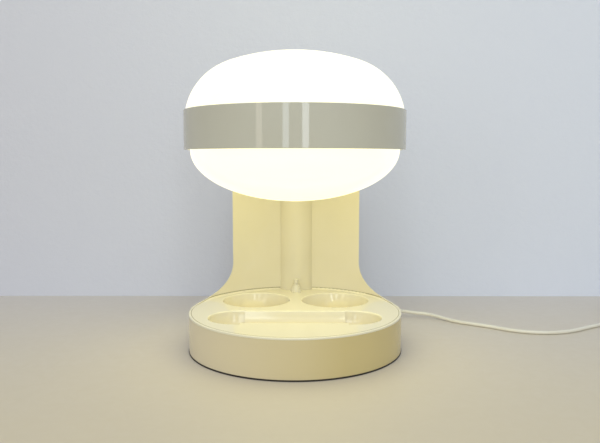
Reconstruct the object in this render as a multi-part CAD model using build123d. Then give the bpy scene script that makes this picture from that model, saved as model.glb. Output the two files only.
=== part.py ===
"""Table lamp with a tray base, a curved back wall, and a two-part diffuser head in a plastic band.

Millimetres. +Z is up and the origin is the centre of the footprint, on the surface the lamp stands on.
The front of the lamp faces -Y. Every piece is written to parts/ under its own name.
"""

import os
from math import acos, atan2, cos, hypot, pi, radians, sin, sqrt, tan

from build123d import *

# Running and seating clearances
CLEARANCE = 0.3
SNUG = 0.1
WELD = 1.0

# Drum and back wall, one moulding
BASE_RADIUS = 120.0
SHELL_WALL = 3.0
DRUM_BOTTOM = 0.8
TRAY_TOP = 43.0
BACK_HALF_WIDTH = 79.6
BACK_TOP = 250.6

# Tray moulding
TRAY_EDGE = 2.0
TRAY_SHEET = 2.4
TRAY_WALL = 2.2
LIP_RADIUS = 1.6
BACK_LIP_HEIGHT = 2.6
EDGE_ROUND = 1.0

# Round bowls
BOWL_RADIUS = 40.0
BOWL_X = 47.6
BOWL_Y = 49.0
BOWL_CORNER = 30.0
BOWL_LEAN = 12.0

# Pen trough and end pockets
TROUGH_Y = -35.6
TROUGH_RADIUS = 27.0
TROUGH_LEAN = 15.0
POCKET_X = 64.0
POCKET_Y = -37.5
POCKET_RADIUS = 29.5
POCKET_CORNER = 22.0
POCKET_LEAN = 2.0
POCKET_SPLIT = 56.5

# Bottom cover, feet and screws
COVER_THICKNESS = 2.0
COVER_BOTTOM = 2.0
REBATE = 1.5
FOOT_RADIUS = 8.0
FOOT_CHAMFER = 0.4
FOOT_INSET = 32.0
FOOT_ANGLES = (45.0, 135.0, 225.0, 315.0)
BOSS_RADIUS = 4.0
BOSS_INSET = 16.0
BOSS_ANGLES = (270.0, 5.0, 175.0, 72.0, 108.0)
SCREW_RADIUS = 1.5
SCREW_LENGTH = 14.0
SCREW_HEAD_RADIUS = 2.8
SCREW_HEAD_HEIGHT = 1.2

# Cable duct on the back wall
DUCT_HALF_WIDTH = 20.5
DUCT_DEPTH = 10.5
DUCT_WALL = 2.0
DUCT_REACH = 4.6

# Push switch
SWITCH_INSET = 21.0
NUT_BASE_RADIUS = 6.5
NUT_TOP_RADIUS = 4.3
NUT_HEIGHT = 9.8
NUT_FOOT = 1.2
NUT_WAIST_RADIUS = 5.0
NUT_WAIST_HEIGHT = 5.7
NUT_FLUTES = 14
FLUTE_RADIUS = 0.7
FLUTE_OFFSET = 0.4
BUSH_RADIUS = 3.7
BUSH_RISE = 7.0
STEM_RADIUS = 2.1
BUTTON_RADIUS = 2.8
BUTTON_HEAD_HEIGHT = 4.4
BUTTON_ROUND = 0.9
BUTTON_TRAVEL = 2.0
COLLAR_RADIUS = 4.0
COLLAR_HEIGHT = 2.0
SWITCH_BODY_RADIUS = 7.5
SWITCH_BODY_DEPTH = 20.0
SWITCH_ROOF = 1.2
SWITCH_FLOOR = 3.0
SPRING_RADIUS = 3.0
SPRING_WIRE = 0.3
SPRING_TURNS = 6
TAG_X = 3.0
TAG_DROP = 6.0
TAG_SHEET = 0.8
TAG_WIDTH = 2.0

# Head band
BAND_GAP = 0.2
BAND_WALL = 2.0
BAND_HEIGHT = 42.3
BAND_RISE = 15.1
BAND_ROUND = 0.7
BAND_LIP_DEPTH = 1.9
BAND_LIP_HEIGHT = 1.6
LEDGE_DEPTH = 2.8
LEDGE_HEIGHT = 1.6
LEDGE_HALF_ANGLE = 4.0
LEDGE_ANGLES = (270.0, 330.0, 30.0, 150.0, 210.0)

# Diffusers
DIFFUSER_WALL = 2.2
UPPER_RISE = 64.3
UPPER_SHOULDER = 67.5
UPPER_CROWN = 229.4
LOWER_INSET = 1.6
LOWER_DROP = 56.6
LOWER_FLANGE = 2.0

# Lampholder bracket
BRACKET_SHEET = 1.5
BRACKET_HEIGHT = 19.5
BRACKET_DROP = 1.6
BRACKET_HALF_ANGLE = 20.0
BRACKET_ARM_HALF_WIDTH = 16.0
BRACKET_REACH = 25.0
BRACKET_FACE_HEIGHT = 26.5
BAND_SCREW_ANGLES = (78.0, 102.0)
BAND_SCREW_DROP = 10.6
BAND_SCREW_RADIUS = 1.5
BAND_SCREW_HEAD = 3.0
BAND_SCREW_REACH = 5.0
BAND_SCREW_SINK = 1.5
SLOT_WIDTH = 0.7
SLOT_DEPTH = 0.6

# Lampholder and bulb, on one axis that points forward
LAMP_AXIS_DROP = 8.6
NIPPLE_RADIUS = 5.0
NIPPLE_BORE = 3.2
NIPPLE_LENGTH = 13.0
HEX_NUT_FLATS = 14.0
HEX_NUT_HEIGHT = 3.0
HOLDER_CAP_RADIUS = 18.0
HOLDER_CAP_LENGTH = 17.0
HOLDER_CAP_ROUND = 5.0
HOLDER_SKIRT_RADIUS = 19.5
HOLDER_SKIRT_LENGTH = 32.0
HOLDER_SKIRT_WALL = 2.5
INSERT_THICKNESS = 5.0
BULB_CAP_RADIUS = 13.0
BULB_CAP_LENGTH = 25.0
BULB_CAP_WALL = 0.5
BULB_RADIUS = 30.0
BULB_NECK_SEAT = 4.0
BULB_NECK_LENGTH = 7.0
BULB_GLASS_LENGTH = 82.0
BULB_GLASS_WALL = 0.8
CONTACT_RADIUS = 3.0
CONTACT_HEIGHT = 1.2
BLADE_LENGTH = 12.0

# Wiring inside the base
BLOCK_LENGTH = 22.0
BLOCK_WIDTH = 18.0
BLOCK_HEIGHT = 10.0
BLOCK_Y = 12.0
BLOCK_SCREW_X = 5.0
LEAD_RADIUS = 1.0
LEAD_HOLE_RADIUS = 3.0
BLOCK_X = 0.0
INNER_BEND = 12.0
BLOCK_SCREW_RADIUS = 1.8
CLAMP_INSET = 30.0
CLAMP_LENGTH = 8.0
CLAMP_WIDTH = 24.0
CLAMP_OVER = 2.0
CLAMP_SCREW_OFFSET = 8.0

# Mains cord, its gland and its plug
CORD_RADIUS = 2.25
EXIT_ANGLE = 65.0
EXIT_Z = 12.0
RELIEF_LENGTH = 28.0
RELIEF_ROOT_RADIUS = 5.0
RELIEF_TIP_RADIUS = 3.1
RELIEF_NECK_RADIUS = 4.2
RELIEF_FLANGE_RADIUS = 6.5
RELIEF_FLANGE = 2.5
CORD_LEAD = 16.0
CORD_LIE = CORD_RADIUS + 0.05
COIL_X = 449.0
COIL_Y = 126.0
COIL_RADIUS = 25.0
COIL_SECTION = 13.6
TAIL_LENGTH = 34.0
PLUG_LENGTH = 36.0
PLUG_WIDTH = 35.0
PLUG_REAR_WIDTH = 16.0
PLUG_OFFSET = 5.0
PLUG_SHOULDER = 19.8
PLUG_CORNER = 3.0
PLUG_CHAMFER = 1.2
PLUG_THICKNESS = 13.6
PIN_RADIUS = 2.0
PIN_LENGTH = 19.0
PIN_ROUND = 1.2
PIN_SPACING = 19.0
TIE_WIDTH = 5.0
TIE_WALL = 0.8

# Free cord: the points of its route after the gland, chosen by hand along the surface the lamp stands on
CORD_ROUTE = (
    (83.0, 159.5, 11.0),
    (103.0, 161.0, 10.2),
    (121.0, 149.0, 9.4),
    (138.0, 136.5, 8.6),
    (158.0, 130.5, 7.4),
    (178.0, 128.5, 5.6),
    (193.5, 117.5, 3.6),
    (207.0, 102.5, 2.5),
    (226.0, 90.5, CORD_LIE),
    (246.0, 77.5, CORD_LIE),
    (262.0, 63.0, CORD_LIE),
    (281.0, 52.0, CORD_LIE),
    (304.0, 48.0, CORD_LIE),
    (327.0, 51.0, CORD_LIE),
    (348.0, 60.5, CORD_LIE),
    (370.0, 75.5, CORD_LIE),
    (391.0, 87.5, CORD_LIE),
    (406.0, 97.0, CORD_LIE),
    (416.0, 110.0, CORD_LIE),
    (419.5, 124.0, CORD_LIE),
)


# ---------------------------------------------------------------- shared values

INNER_RADIUS = BASE_RADIUS - SHELL_WALL
BOSS_CIRCLE = BASE_RADIUS - BOSS_INSET
FOOT_CIRCLE = BASE_RADIUS - FOOT_INSET
SWITCH_Y = INNER_RADIUS - SWITCH_INSET
SEAM_Z = TRAY_TOP - TRAY_EDGE
COVER_TOP = COVER_BOTTOM + COVER_THICKNESS
COVER_RADIUS = BASE_RADIUS - REBATE - CLEARANCE
TRAY_RADIUS = INNER_RADIUS - 2 * SNUG
TRAY_UNDERSIDE = TRAY_TOP - TRAY_SHEET
BAND_INNER = BASE_RADIUS + BAND_GAP
BAND_RADIUS = BAND_INNER + BAND_WALL
BAND_TOP = BACK_TOP + BAND_RISE
BAND_BOTTOM = BAND_TOP - BAND_HEIGHT
LOWER_RADIUS = INNER_RADIUS - LOWER_INSET
BRACKET_TOP = BACK_TOP - BRACKET_DROP
BRACKET_BOTTOM = BRACKET_TOP - BRACKET_HEIGHT
BRACKET_FACE_Y = INNER_RADIUS - BRACKET_REACH
BRACKET_FACE_TOP = BRACKET_BOTTOM + BRACKET_FACE_HEIGHT
BAND_SCREW_Z = BACK_TOP - BAND_SCREW_DROP
BAND_SCREW_TIP = INNER_RADIUS - BAND_SCREW_REACH
LAMP_AXIS_Z = BACK_TOP - LAMP_AXIS_DROP
DUCT_TOP = BAND_BOTTOM + DUCT_REACH
DIFFUSER_RADIUS = BAND_INNER - CLEARANCE
FLARE_RADIUS = BASE_RADIUS - BACK_HALF_WIDTH
SEAT_Z = BACK_TOP + CLEARANCE
BULB_CAP_START = HOLDER_CAP_LENGTH + INSERT_THICKNESS + CONTACT_HEIGHT + SNUG
DUCT_BACK_Y = sqrt(INNER_RADIUS**2 - DUCT_HALF_WIDTH**2)
DUCT_FRONT_Y = DUCT_BACK_Y - DUCT_DEPTH
BUSH_TOP = TRAY_TOP + BUSH_RISE
NUT_TOP = TRAY_TOP + NUT_HEIGHT
BUTTON_BOTTOM = NUT_TOP + BUTTON_TRAVEL + SNUG
COLLAR_TOP = TRAY_UNDERSIDE - SWITCH_ROOF - SNUG
LEAD_HOLE_Y = DUCT_FRONT_Y + DUCT_WALL + 3.2


def on_circle(radius, angle, z=0.0):
    """Point on a circle about the lamp's axis; the angle is in degrees from +X."""
    return Vector(radius * cos(radians(angle)), radius * sin(radians(angle)), z)


def turned(*edges):
    """Solid of revolution about Z of a closed outline drawn at y = 0."""
    return revolve(make_face(list(edges)), Axis.Z)


def lathe(*points):
    """Solid of revolution about Z of a polygon of (radius, z) points."""
    return turned(Polyline(*[(radius, 0, z) for radius, z in points], close=True))


def ring(inner, outer, bottom, top):
    """Plain tube about Z."""
    return lathe((inner, bottom), (outer, bottom), (outer, top), (inner, top))


def rod(radius, bottom, top, x=0.0, y=0.0):
    """Upright cylinder between two heights."""
    centred = (Align.CENTER, Align.CENTER, Align.MIN)
    return Pos(x, y, bottom) * Cylinder(radius, top - bottom, align=centred)


def block(x_low, x_high, y_low, y_high, z_low, z_high):
    """Box between two corners."""
    size = Box(x_high - x_low, y_high - y_low, z_high - z_low)
    return Pos((x_low + x_high) / 2, (y_low + y_high) / 2, (z_low + z_high) / 2) * size


def sector(radius, middle, half_angle, bottom, top):
    """Wedge of a disc, for keeping or cutting a stretch of a ring."""
    start = on_circle(radius, middle - half_angle, bottom)
    end = on_circle(radius, middle + half_angle, bottom)
    through = on_circle(radius, middle, bottom)
    centre = Vector(0, 0, bottom)
    face = make_face([Line(centre, start), ThreePointArc(start, through, end), Line(end, centre)])
    return extrude(face, top - bottom, dir=(0, 0, 1))


def along(start, direction, near, far, radius):
    """Cylinder on a line, between two distances from its start."""
    plane = Plane(origin=start + direction * near, z_dir=direction)
    return extrude(plane * Circle(radius), far - near)


def cone_along(start, direction, near, far, near_radius, far_radius):
    """Tapered round bar on a line, between two distances from its start."""
    first = Plane(origin=start + direction * near, z_dir=direction) * Circle(near_radius)
    last = Plane(origin=start + direction * far, z_dir=direction) * Circle(far_radius)
    return loft([first, last])


def write(name, shape):
    """Writes one node's STEP file."""
    export_step(shape, os.path.join("parts", name + ".step"))


def back_region(drop=0.0, grow=0.0):
    """Everything behind and below the back wall's outline: wide at the drum, then two quarter-round flares."""
    wide = BASE_RADIUS + grow
    narrow = BACK_HALF_WIDTH + grow
    low = TRAY_TOP - drop
    flare = FLARE_RADIUS
    turn = flare * (1 - cos(radians(45)))
    edges = [
        Line((-wide, 0, 0), (wide, 0, 0)),
        Line((wide, 0, 0), (wide, 0, low)),
        ThreePointArc((wide, 0, low), (narrow + turn, 0, low + turn), (narrow, 0, low + flare)),
        Line((narrow, 0, low + flare), (narrow, 0, BACK_TOP)),
        Line((narrow, 0, BACK_TOP), (-narrow, 0, BACK_TOP)),
        Line((-narrow, 0, BACK_TOP), (-narrow, 0, low + flare)),
        ThreePointArc((-narrow, 0, low + flare), (-narrow - turn, 0, low + turn), (-wide, 0, low)),
        Line((-wide, 0, low), (-wide, 0, 0)),
    ]
    return extrude(make_face(edges), BASE_RADIUS + WELD, dir=(0, 1, 0))


# ---------------------------------------------------------------- base

def exit_direction():
    """Level direction in which the cord leaves the drum."""
    return on_circle(1.0, EXIT_ANGLE)


def exit_point():
    """Where the cord's axis passes through the drum's outer face."""
    return on_circle(BASE_RADIUS, EXIT_ANGLE, EXIT_Z)


def make_base_shell():
    """Drum wall up to the tray's seam, and the back wall that carries the head."""
    drum = ring(INNER_RADIUS, BASE_RADIUS, DRUM_BOTTOM, SEAM_Z)
    wall = ring(INNER_RADIUS, BASE_RADIUS, SEAM_Z - WELD, BACK_TOP) & back_region()
    shell = drum + wall
    shell -= ring(INNER_RADIUS - WELD, BASE_RADIUS - REBATE, DRUM_BOTTOM - WELD, COVER_TOP)
    shell -= along(exit_point(), exit_direction(), -2 * SHELL_WALL, SHELL_WALL, RELIEF_NECK_RADIUS + SNUG)
    for angle in BAND_SCREW_ANGLES:
        direction = on_circle(1.0, angle)
        shell -= along(Vector(0, 0, BAND_SCREW_Z), direction, INNER_RADIUS - WELD, BASE_RADIUS + WELD,
                       BAND_SCREW_RADIUS + CLEARANCE)
    return shell


def pan_arc_centre(half_width, corner, lean):
    """Centre, as (offset, z), of the arc that rounds a pan's wall into its floor."""
    wall_z = TRAY_TOP - LIP_RADIUS * (1 - sin(radians(lean)))
    return half_width - corner * cos(radians(lean)), wall_z + corner * sin(radians(lean))


def flat_floor(floor):
    """The level stretch of a pan's floor, when its corner arc stops short of the middle."""
    return [Line((0, 0, floor[2]), floor)] if floor[0] > SNUG else []


def pan_section(half_width, corner, lean):
    """Edges of half of a pan's hollow: floor, corner arc, wall, rounded lip and a top above the tray."""
    offset, centre_z = pan_arc_centre(half_width, corner, lean)
    low = radians(lean)
    middle = radians((90 + lean) / 2)
    wall = (half_width, 0, centre_z - corner * sin(low))
    floor = (offset if offset > SNUG else 0, 0, centre_z - corner)
    bend = (offset + corner * cos(middle), 0, centre_z - corner * sin(middle))
    lip_x = half_width + LIP_RADIUS * cos(low)
    lip_middle = radians(90 + (90 - lean) / 2)
    lip_centre = TRAY_TOP - LIP_RADIUS
    lip = (lip_x + LIP_RADIUS * cos(lip_middle), 0, lip_centre + LIP_RADIUS * sin(lip_middle))
    rim = (lip_x, 0, TRAY_TOP)
    above = TRAY_TOP + WELD + BACK_LIP_HEIGHT
    edges = [
        ThreePointArc(floor, bend, wall),
        ThreePointArc(wall, lip, rim),
        Line(rim, (lip_x, 0, above)),
        Line((lip_x, 0, above), (0, 0, above)),
        Line((0, 0, above), (0, 0, floor[2])),
    ]
    return edges + flat_floor(floor)


def shell_section(half_width, corner, lean):
    """Edges of half of a pan's outside, one wall thickness out, up to the tray's sheet."""
    offset, centre_z = pan_arc_centre(half_width, corner, lean)
    outer = corner + TRAY_WALL
    low = radians(lean)
    middle = radians((90 + lean) / 2)
    floor = (offset if offset > SNUG else 0, 0, centre_z - outer)
    bend = (offset + outer * cos(middle), 0, centre_z - outer * sin(middle))
    side = (offset + outer * cos(low), 0, centre_z - outer * sin(low))
    inside_sheet = TRAY_TOP - TRAY_SHEET / 2
    edges = [
        ThreePointArc(floor, bend, side),
        Line(side, (side[0], 0, inside_sheet)),
        Line((side[0], 0, inside_sheet), (0, 0, inside_sheet)),
        Line((0, 0, inside_sheet), (0, 0, floor[2])),
    ]
    return edges + flat_floor(floor)


def round_pan(section, x, y):
    """A pan section turned about an upright axis."""
    return Pos(x, y, 0) * turned(*section)


def long_pan(section, y, x_low, x_high):
    """A pan section and its mirror image, drawn out along X."""
    half = extrude(make_face(section), x_high - x_low, dir=(0, 1, 0))
    half = Rot(0, 0, 90) * half
    whole = half + mirror(half, Plane.XZ)
    return Pos(x_high, y, 0) * whole


def pocket_pan(section, side):
    """End pocket: a turned end, a short straight stretch, and a flat wall towards the trough."""
    end = round_pan(section, POCKET_X, POCKET_Y)
    straight = long_pan(section, POCKET_Y, POCKET_SPLIT, POCKET_X)
    far = BASE_RADIUS
    keep = block(POCKET_SPLIT, far, -far, far, -far, far)
    pan = (end + straight) & keep
    return pan if side > 0 else mirror(pan, Plane.YZ)


def all_pans(section_of):
    """The two bowls, the trough and the two end pockets, from either kind of section."""
    bowl = section_of(BOWL_RADIUS, BOWL_CORNER, BOWL_LEAN)
    trough_half = TROUGH_RADIUS * cos(radians(TROUGH_LEAN))
    trough = section_of(trough_half, TROUGH_RADIUS, TROUGH_LEAN)
    pocket = section_of(POCKET_RADIUS, POCKET_CORNER, POCKET_LEAN)
    pans = [round_pan(bowl, side * BOWL_X, BOWL_Y) for side in (-1, 1)]
    pans.append(long_pan(trough, TROUGH_Y, -POCKET_SPLIT, POCKET_SPLIT))
    pans += [pocket_pan(pocket, side) for side in (-1, 1)]
    return pans


def back_lip():
    """Low lip with a hollow front face that closes the joint between the tray and the back wall."""
    foot = (TRAY_RADIUS - BACK_LIP_HEIGHT, 0, TRAY_TOP)
    tip = (TRAY_RADIUS, 0, TRAY_TOP + BACK_LIP_HEIGHT)
    sag = BACK_LIP_HEIGHT * sin(radians(45))
    middle = (TRAY_RADIUS - BACK_LIP_HEIGHT + sag, 0, TRAY_TOP + BACK_LIP_HEIGHT - sag)
    inside = TRAY_TOP - TRAY_SHEET / 2
    lip = turned(
        Line((foot[0], 0, inside), foot),
        ThreePointArc(foot, middle, tip),
        Line(tip, (TRAY_RADIUS, 0, inside)),
        Line((TRAY_RADIUS, 0, inside), (foot[0], 0, inside)),
    )
    behind = back_region(drop=EDGE_ROUND)
    duct = block(-DUCT_HALF_WIDTH - CLEARANCE, DUCT_HALF_WIDTH + CLEARANCE, 0, BASE_RADIUS,
                 TRAY_TOP, TRAY_TOP + BACK_LIP_HEIGHT + WELD)
    return (lip & behind) - duct


def make_tray():
    """Tray top: a thin disc that covers the drum in front and fits inside the back wall behind."""
    disc = rod(TRAY_RADIUS, TRAY_UNDERSIDE, TRAY_TOP)
    edge = ring(TRAY_RADIUS - WELD, BASE_RADIUS, SEAM_Z + SNUG, TRAY_TOP)
    top_circles = edge.edges().filter_by(GeomType.CIRCLE).group_by(Axis.Z)[-1]
    edge = fillet(top_circles.sort_by(SortBy.RADIUS)[-1], EDGE_ROUND)
    far = BASE_RADIUS + WELD
    edge &= block(-far, far, -far, -SNUG, 0, TRAY_TOP + WELD)
    tray = disc + edge + back_lip()
    for pan in all_pans(shell_section):
        tray += pan
    for angle in BOSS_ANGLES:
        centre = on_circle(BOSS_CIRCLE, angle)
        tray += rod(BOSS_RADIUS, COVER_TOP + SNUG, TRAY_TOP - TRAY_SHEET / 2, centre.X, centre.Y)
    for pan in all_pans(pan_section):
        tray -= pan
    for angle in BOSS_ANGLES:
        centre = on_circle(BOSS_CIRCLE, angle)
        depth = SCREW_LENGTH + COVER_BOTTOM + WELD
        tray -= rod(SCREW_RADIUS, 0, depth, centre.X, centre.Y)
    tray -= rod(BUSH_RADIUS + CLEARANCE, 0, TRAY_TOP + WELD, 0, SWITCH_Y)
    tray -= rod(LEAD_HOLE_RADIUS, 0, TRAY_TOP + WELD, 0, LEAD_HOLE_Y)
    return tray


def make_bottom_cover():
    """Flat disc that closes the drum, with screw holes."""
    cover = rod(COVER_RADIUS, COVER_BOTTOM, COVER_TOP)
    for angle in BOSS_ANGLES:
        centre = on_circle(BOSS_CIRCLE, angle)
        cover -= rod(SCREW_RADIUS + CLEARANCE, 0, COVER_TOP + WELD, centre.X, centre.Y)
    return cover


def make_rubber_feet():
    """Four round pads stuck under the bottom cover."""
    feet = []
    for angle in FOOT_ANGLES:
        centre = on_circle(FOOT_CIRCLE, angle)
        pad = rod(FOOT_RADIUS, 0, COVER_BOTTOM, centre.X, centre.Y)
        feet.append(chamfer(pad.edges().group_by(Axis.Z)[0], FOOT_CHAMFER))
    return Compound(feet)


def make_bottom_screws():
    """Pan-head screws up through the bottom cover into the tray's bosses."""
    screws = []
    for angle in BOSS_ANGLES:
        centre = on_circle(BOSS_CIRCLE, angle)
        shank = rod(SCREW_RADIUS - SNUG / 2, COVER_BOTTOM, COVER_BOTTOM + SCREW_LENGTH, centre.X, centre.Y)
        head = rod(SCREW_HEAD_RADIUS, COVER_BOTTOM - SCREW_HEAD_HEIGHT, COVER_BOTTOM, centre.X, centre.Y)
        screws.append(shank + head)
    return Compound(screws)


def duct_outline(half_width, front_y, back_y):
    """Half-round plan of the cable duct: a straight back and an arc in front."""
    left = Vector(-half_width, DUCT_BACK_Y, 0)
    right = Vector(half_width, DUCT_BACK_Y, 0)
    nose = Vector(0, front_y, 0)
    left_back = Vector(-half_width, back_y, 0)
    right_back = Vector(half_width, back_y, 0)
    edges = [
        ThreePointArc(left, nose, right),
        Line(right, right_back),
        Line(right_back, left_back),
        Line(left_back, left),
    ]
    return make_face(edges)


def make_column_cover():
    """Half-round duct that hides the leads, against the back wall's inner face."""
    outer = duct_outline(DUCT_HALF_WIDTH, DUCT_FRONT_Y, INNER_RADIUS)
    inner = duct_outline(DUCT_HALF_WIDTH - DUCT_WALL, DUCT_FRONT_Y + DUCT_WALL, INNER_RADIUS)
    duct = extrude(outer, DUCT_TOP - TRAY_TOP, dir=(0, 0, 1))
    duct -= extrude(inner, DUCT_TOP - TRAY_TOP, dir=(0, 0, 1))
    duct = Pos(0, 0, TRAY_TOP) * duct
    return duct & rod(INNER_RADIUS - SNUG / 2, TRAY_TOP, DUCT_TOP)


# ---------------------------------------------------------------- push switch

def make_switch_body():
    """Round housing under the tray, with a bush that stands up through it and guides the button's stem."""
    floor = TRAY_UNDERSIDE - SWITCH_BODY_DEPTH + SWITCH_FLOOR
    body = rod(SWITCH_BODY_RADIUS, TRAY_UNDERSIDE - SWITCH_BODY_DEPTH, TRAY_UNDERSIDE, 0, SWITCH_Y)
    body += rod(BUSH_RADIUS, TRAY_UNDERSIDE - WELD, BUSH_TOP, 0, SWITCH_Y)
    body -= rod(COLLAR_RADIUS + CLEARANCE, floor, TRAY_UNDERSIDE - SWITCH_ROOF, 0, SWITCH_Y)
    body -= rod(STEM_RADIUS + CLEARANCE, floor, BUSH_TOP + WELD, 0, SWITCH_Y)
    return body


def make_switch_tags():
    """Two solder tags on the underside of the switch."""
    top = TRAY_UNDERSIDE - SWITCH_BODY_DEPTH
    half = TAG_WIDTH / 2
    tags = []
    for x in (-TAG_X, TAG_X):
        tags.append(block(x - half, x + half, SWITCH_Y - TAG_SHEET / 2, SWITCH_Y + TAG_SHEET / 2,
                          top - TAG_DROP, top))
    return Compound(tags)


def make_switch_ring_nut():
    """Bell-shaped nut with a fluted skirt, screwed down on the bush."""
    shape = turned(
        Line((0, 0, TRAY_TOP), (NUT_BASE_RADIUS, 0, TRAY_TOP)),
        Line((NUT_BASE_RADIUS, 0, TRAY_TOP), (NUT_BASE_RADIUS, 0, TRAY_TOP + NUT_FOOT)),
        ThreePointArc(
            (NUT_BASE_RADIUS, 0, TRAY_TOP + NUT_FOOT),
            (NUT_WAIST_RADIUS, 0, TRAY_TOP + NUT_WAIST_HEIGHT),
            (NUT_TOP_RADIUS, 0, NUT_TOP),
        ),
        Line((NUT_TOP_RADIUS, 0, NUT_TOP), (0, 0, NUT_TOP)),
        Line((0, 0, NUT_TOP), (0, 0, TRAY_TOP)),
    )
    for index in range(NUT_FLUTES):
        angle = 360.0 / NUT_FLUTES * index
        foot_point = on_circle(NUT_BASE_RADIUS + FLUTE_OFFSET, angle, TRAY_TOP - WELD)
        top_point = on_circle(NUT_TOP_RADIUS + FLUTE_OFFSET + SNUG, angle, NUT_TOP)
        reach = top_point - foot_point
        shape -= along(foot_point, reach.normalized(), 0, reach.length, FLUTE_RADIUS)
    shape = Pos(0, SWITCH_Y, 0) * shape
    shape -= rod(BUSH_RADIUS + SNUG / 2, TRAY_TOP - WELD, BUSH_TOP + SNUG, 0, SWITCH_Y)
    shape -= rod(STEM_RADIUS + CLEARANCE, TRAY_TOP, NUT_TOP + WELD, 0, SWITCH_Y)
    return shape


def make_push_button():
    """Button with a rounded head, a stem through the bush, and a collar that the spring pushes up."""
    head = rod(BUTTON_RADIUS, BUTTON_BOTTOM, BUTTON_BOTTOM + BUTTON_HEAD_HEIGHT, 0, SWITCH_Y)
    head = fillet(head.edges().group_by(Axis.Z)[-1], BUTTON_ROUND)
    stem = rod(STEM_RADIUS, COLLAR_TOP - WELD, BUTTON_BOTTOM + WELD, 0, SWITCH_Y)
    collar = rod(COLLAR_RADIUS, COLLAR_TOP - COLLAR_HEIGHT, COLLAR_TOP, 0, SWITCH_Y)
    return head + stem + collar


def make_button_spring():
    """Compression spring between the switch's floor and the button's collar."""
    bottom = TRAY_UNDERSIDE - SWITCH_BODY_DEPTH + SWITCH_FLOOR + SPRING_WIRE + SNUG / 2
    top = COLLAR_TOP - COLLAR_HEIGHT - SPRING_WIRE - SNUG / 2
    height = top - bottom
    path = Helix(height / SPRING_TURNS, height, SPRING_RADIUS)
    section = Plane(origin=path @ 0, z_dir=path % 0) * Circle(SPRING_WIRE)
    return Pos(0, SWITCH_Y, bottom) * sweep(section, path, is_frenet=True)


# ---------------------------------------------------------------- head

def behind_wall(inner, outer, bottom, top):
    """Stretch of a ring where the back wall passes through the head, with clearance beside it."""
    half = BACK_HALF_WIDTH + CLEARANCE
    return ring(inner, outer, bottom, top) & block(-half, half, 0, outer, bottom, top)


def make_head_band():
    """Plastic band with a lip below for the lower diffuser and ledges inside for the upper one."""
    lip_top = BAND_BOTTOM + BAND_LIP_HEIGHT
    lip_inner = BAND_INNER - BAND_LIP_DEPTH
    band = ring(BAND_INNER, BAND_RADIUS, BAND_BOTTOM, BAND_TOP)
    outer_edges = band.edges().filter_by(GeomType.CIRCLE).filter_by(lambda e: e.radius > BAND_RADIUS - SNUG)
    band = fillet(outer_edges, BAND_ROUND)
    lip = ring(lip_inner, BAND_INNER + SNUG, BAND_BOTTOM, lip_top)
    band += lip - behind_wall(lip_inner - WELD, BAND_INNER, BAND_BOTTOM - WELD, lip_top + WELD)
    for angle in LEDGE_ANGLES:
        ledge = ring(BAND_INNER - LEDGE_DEPTH, BAND_INNER + SNUG, SEAT_Z - LEDGE_HEIGHT, SEAT_Z)
        band += ledge & sector(BAND_RADIUS, angle, LEDGE_HALF_ANGLE, SEAT_Z - LEDGE_HEIGHT, SEAT_Z)
    for angle in BAND_SCREW_ANGLES:
        direction = on_circle(1.0, angle)
        centre = Vector(0, 0, BAND_SCREW_Z)
        band -= along(centre, direction, BAND_INNER - WELD, BAND_RADIUS + WELD, BAND_SCREW_RADIUS + SNUG)
        band -= cone_along(centre, direction, BAND_RADIUS - BAND_SCREW_SINK, BAND_RADIUS + SNUG,
                           BAND_SCREW_RADIUS + SNUG, BAND_SCREW_HEAD + 2 * SNUG)
    return band


def make_band_screws():
    """Countersunk screws through the band and the back wall into the lampholder bracket."""
    screws = []
    for angle in BAND_SCREW_ANGLES:
        direction = on_circle(1.0, angle)
        centre = Vector(0, 0, BAND_SCREW_Z)
        face = BAND_RADIUS - SNUG
        screw = along(centre, direction, BAND_SCREW_TIP, face - BAND_SCREW_SINK, BAND_SCREW_RADIUS)
        screw += cone_along(centre, direction, face - BAND_SCREW_SINK, face, BAND_SCREW_RADIUS, BAND_SCREW_HEAD)
        middle = centre + direction * face
        slot = Box(2 * BAND_SCREW_HEAD, SLOT_WIDTH, 2 * SLOT_DEPTH)
        slot = Plane(origin=middle, x_dir=(0, 0, 1), z_dir=direction) * slot
        screws.append(screw - slot)
    return Compound(screws)


def half_bowl(radius, drop):
    """Solid half ellipsoid of revolution below the band's lower edge."""
    upright = Plane(origin=(0, 0, BAND_BOTTOM), x_dir=(1, 0, 0), z_dir=(0, -1, 0))
    quarter = Ellipse(radius, drop) & (Pos(radius, -drop) * Rectangle(2 * radius, 2 * drop))
    return revolve(upright * quarter, Axis.Z)


def make_lower_diffuser():
    """Opal bowl that hangs by its flange on the band's lip, cut away behind for the back wall and the duct."""
    inside = LOWER_RADIUS - DIFFUSER_WALL
    flange_low = BAND_BOTTOM + BAND_LIP_HEIGHT + SNUG / 2
    flange_top = flange_low + LOWER_FLANGE
    bowl = half_bowl(LOWER_RADIUS, LOWER_DROP) + rod(LOWER_RADIUS, BAND_BOTTOM, flange_top)
    bowl += rod(DIFFUSER_RADIUS, flange_low, flange_top)
    bowl -= half_bowl(inside, LOWER_DROP - DIFFUSER_WALL)
    bowl -= rod(inside, BAND_BOTTOM, flange_top)
    bowl -= behind_wall(INNER_RADIUS - 2 * CLEARANCE, DIFFUSER_RADIUS + WELD, BAND_BOTTOM, flange_top + WELD)
    side = DUCT_HALF_WIDTH + 2 * CLEARANCE
    low = BAND_BOTTOM - LOWER_DROP
    bowl -= block(-side, side, DUCT_FRONT_Y - 2 * CLEARANCE, BASE_RADIUS, low, flange_top + WELD)
    return bowl


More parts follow.
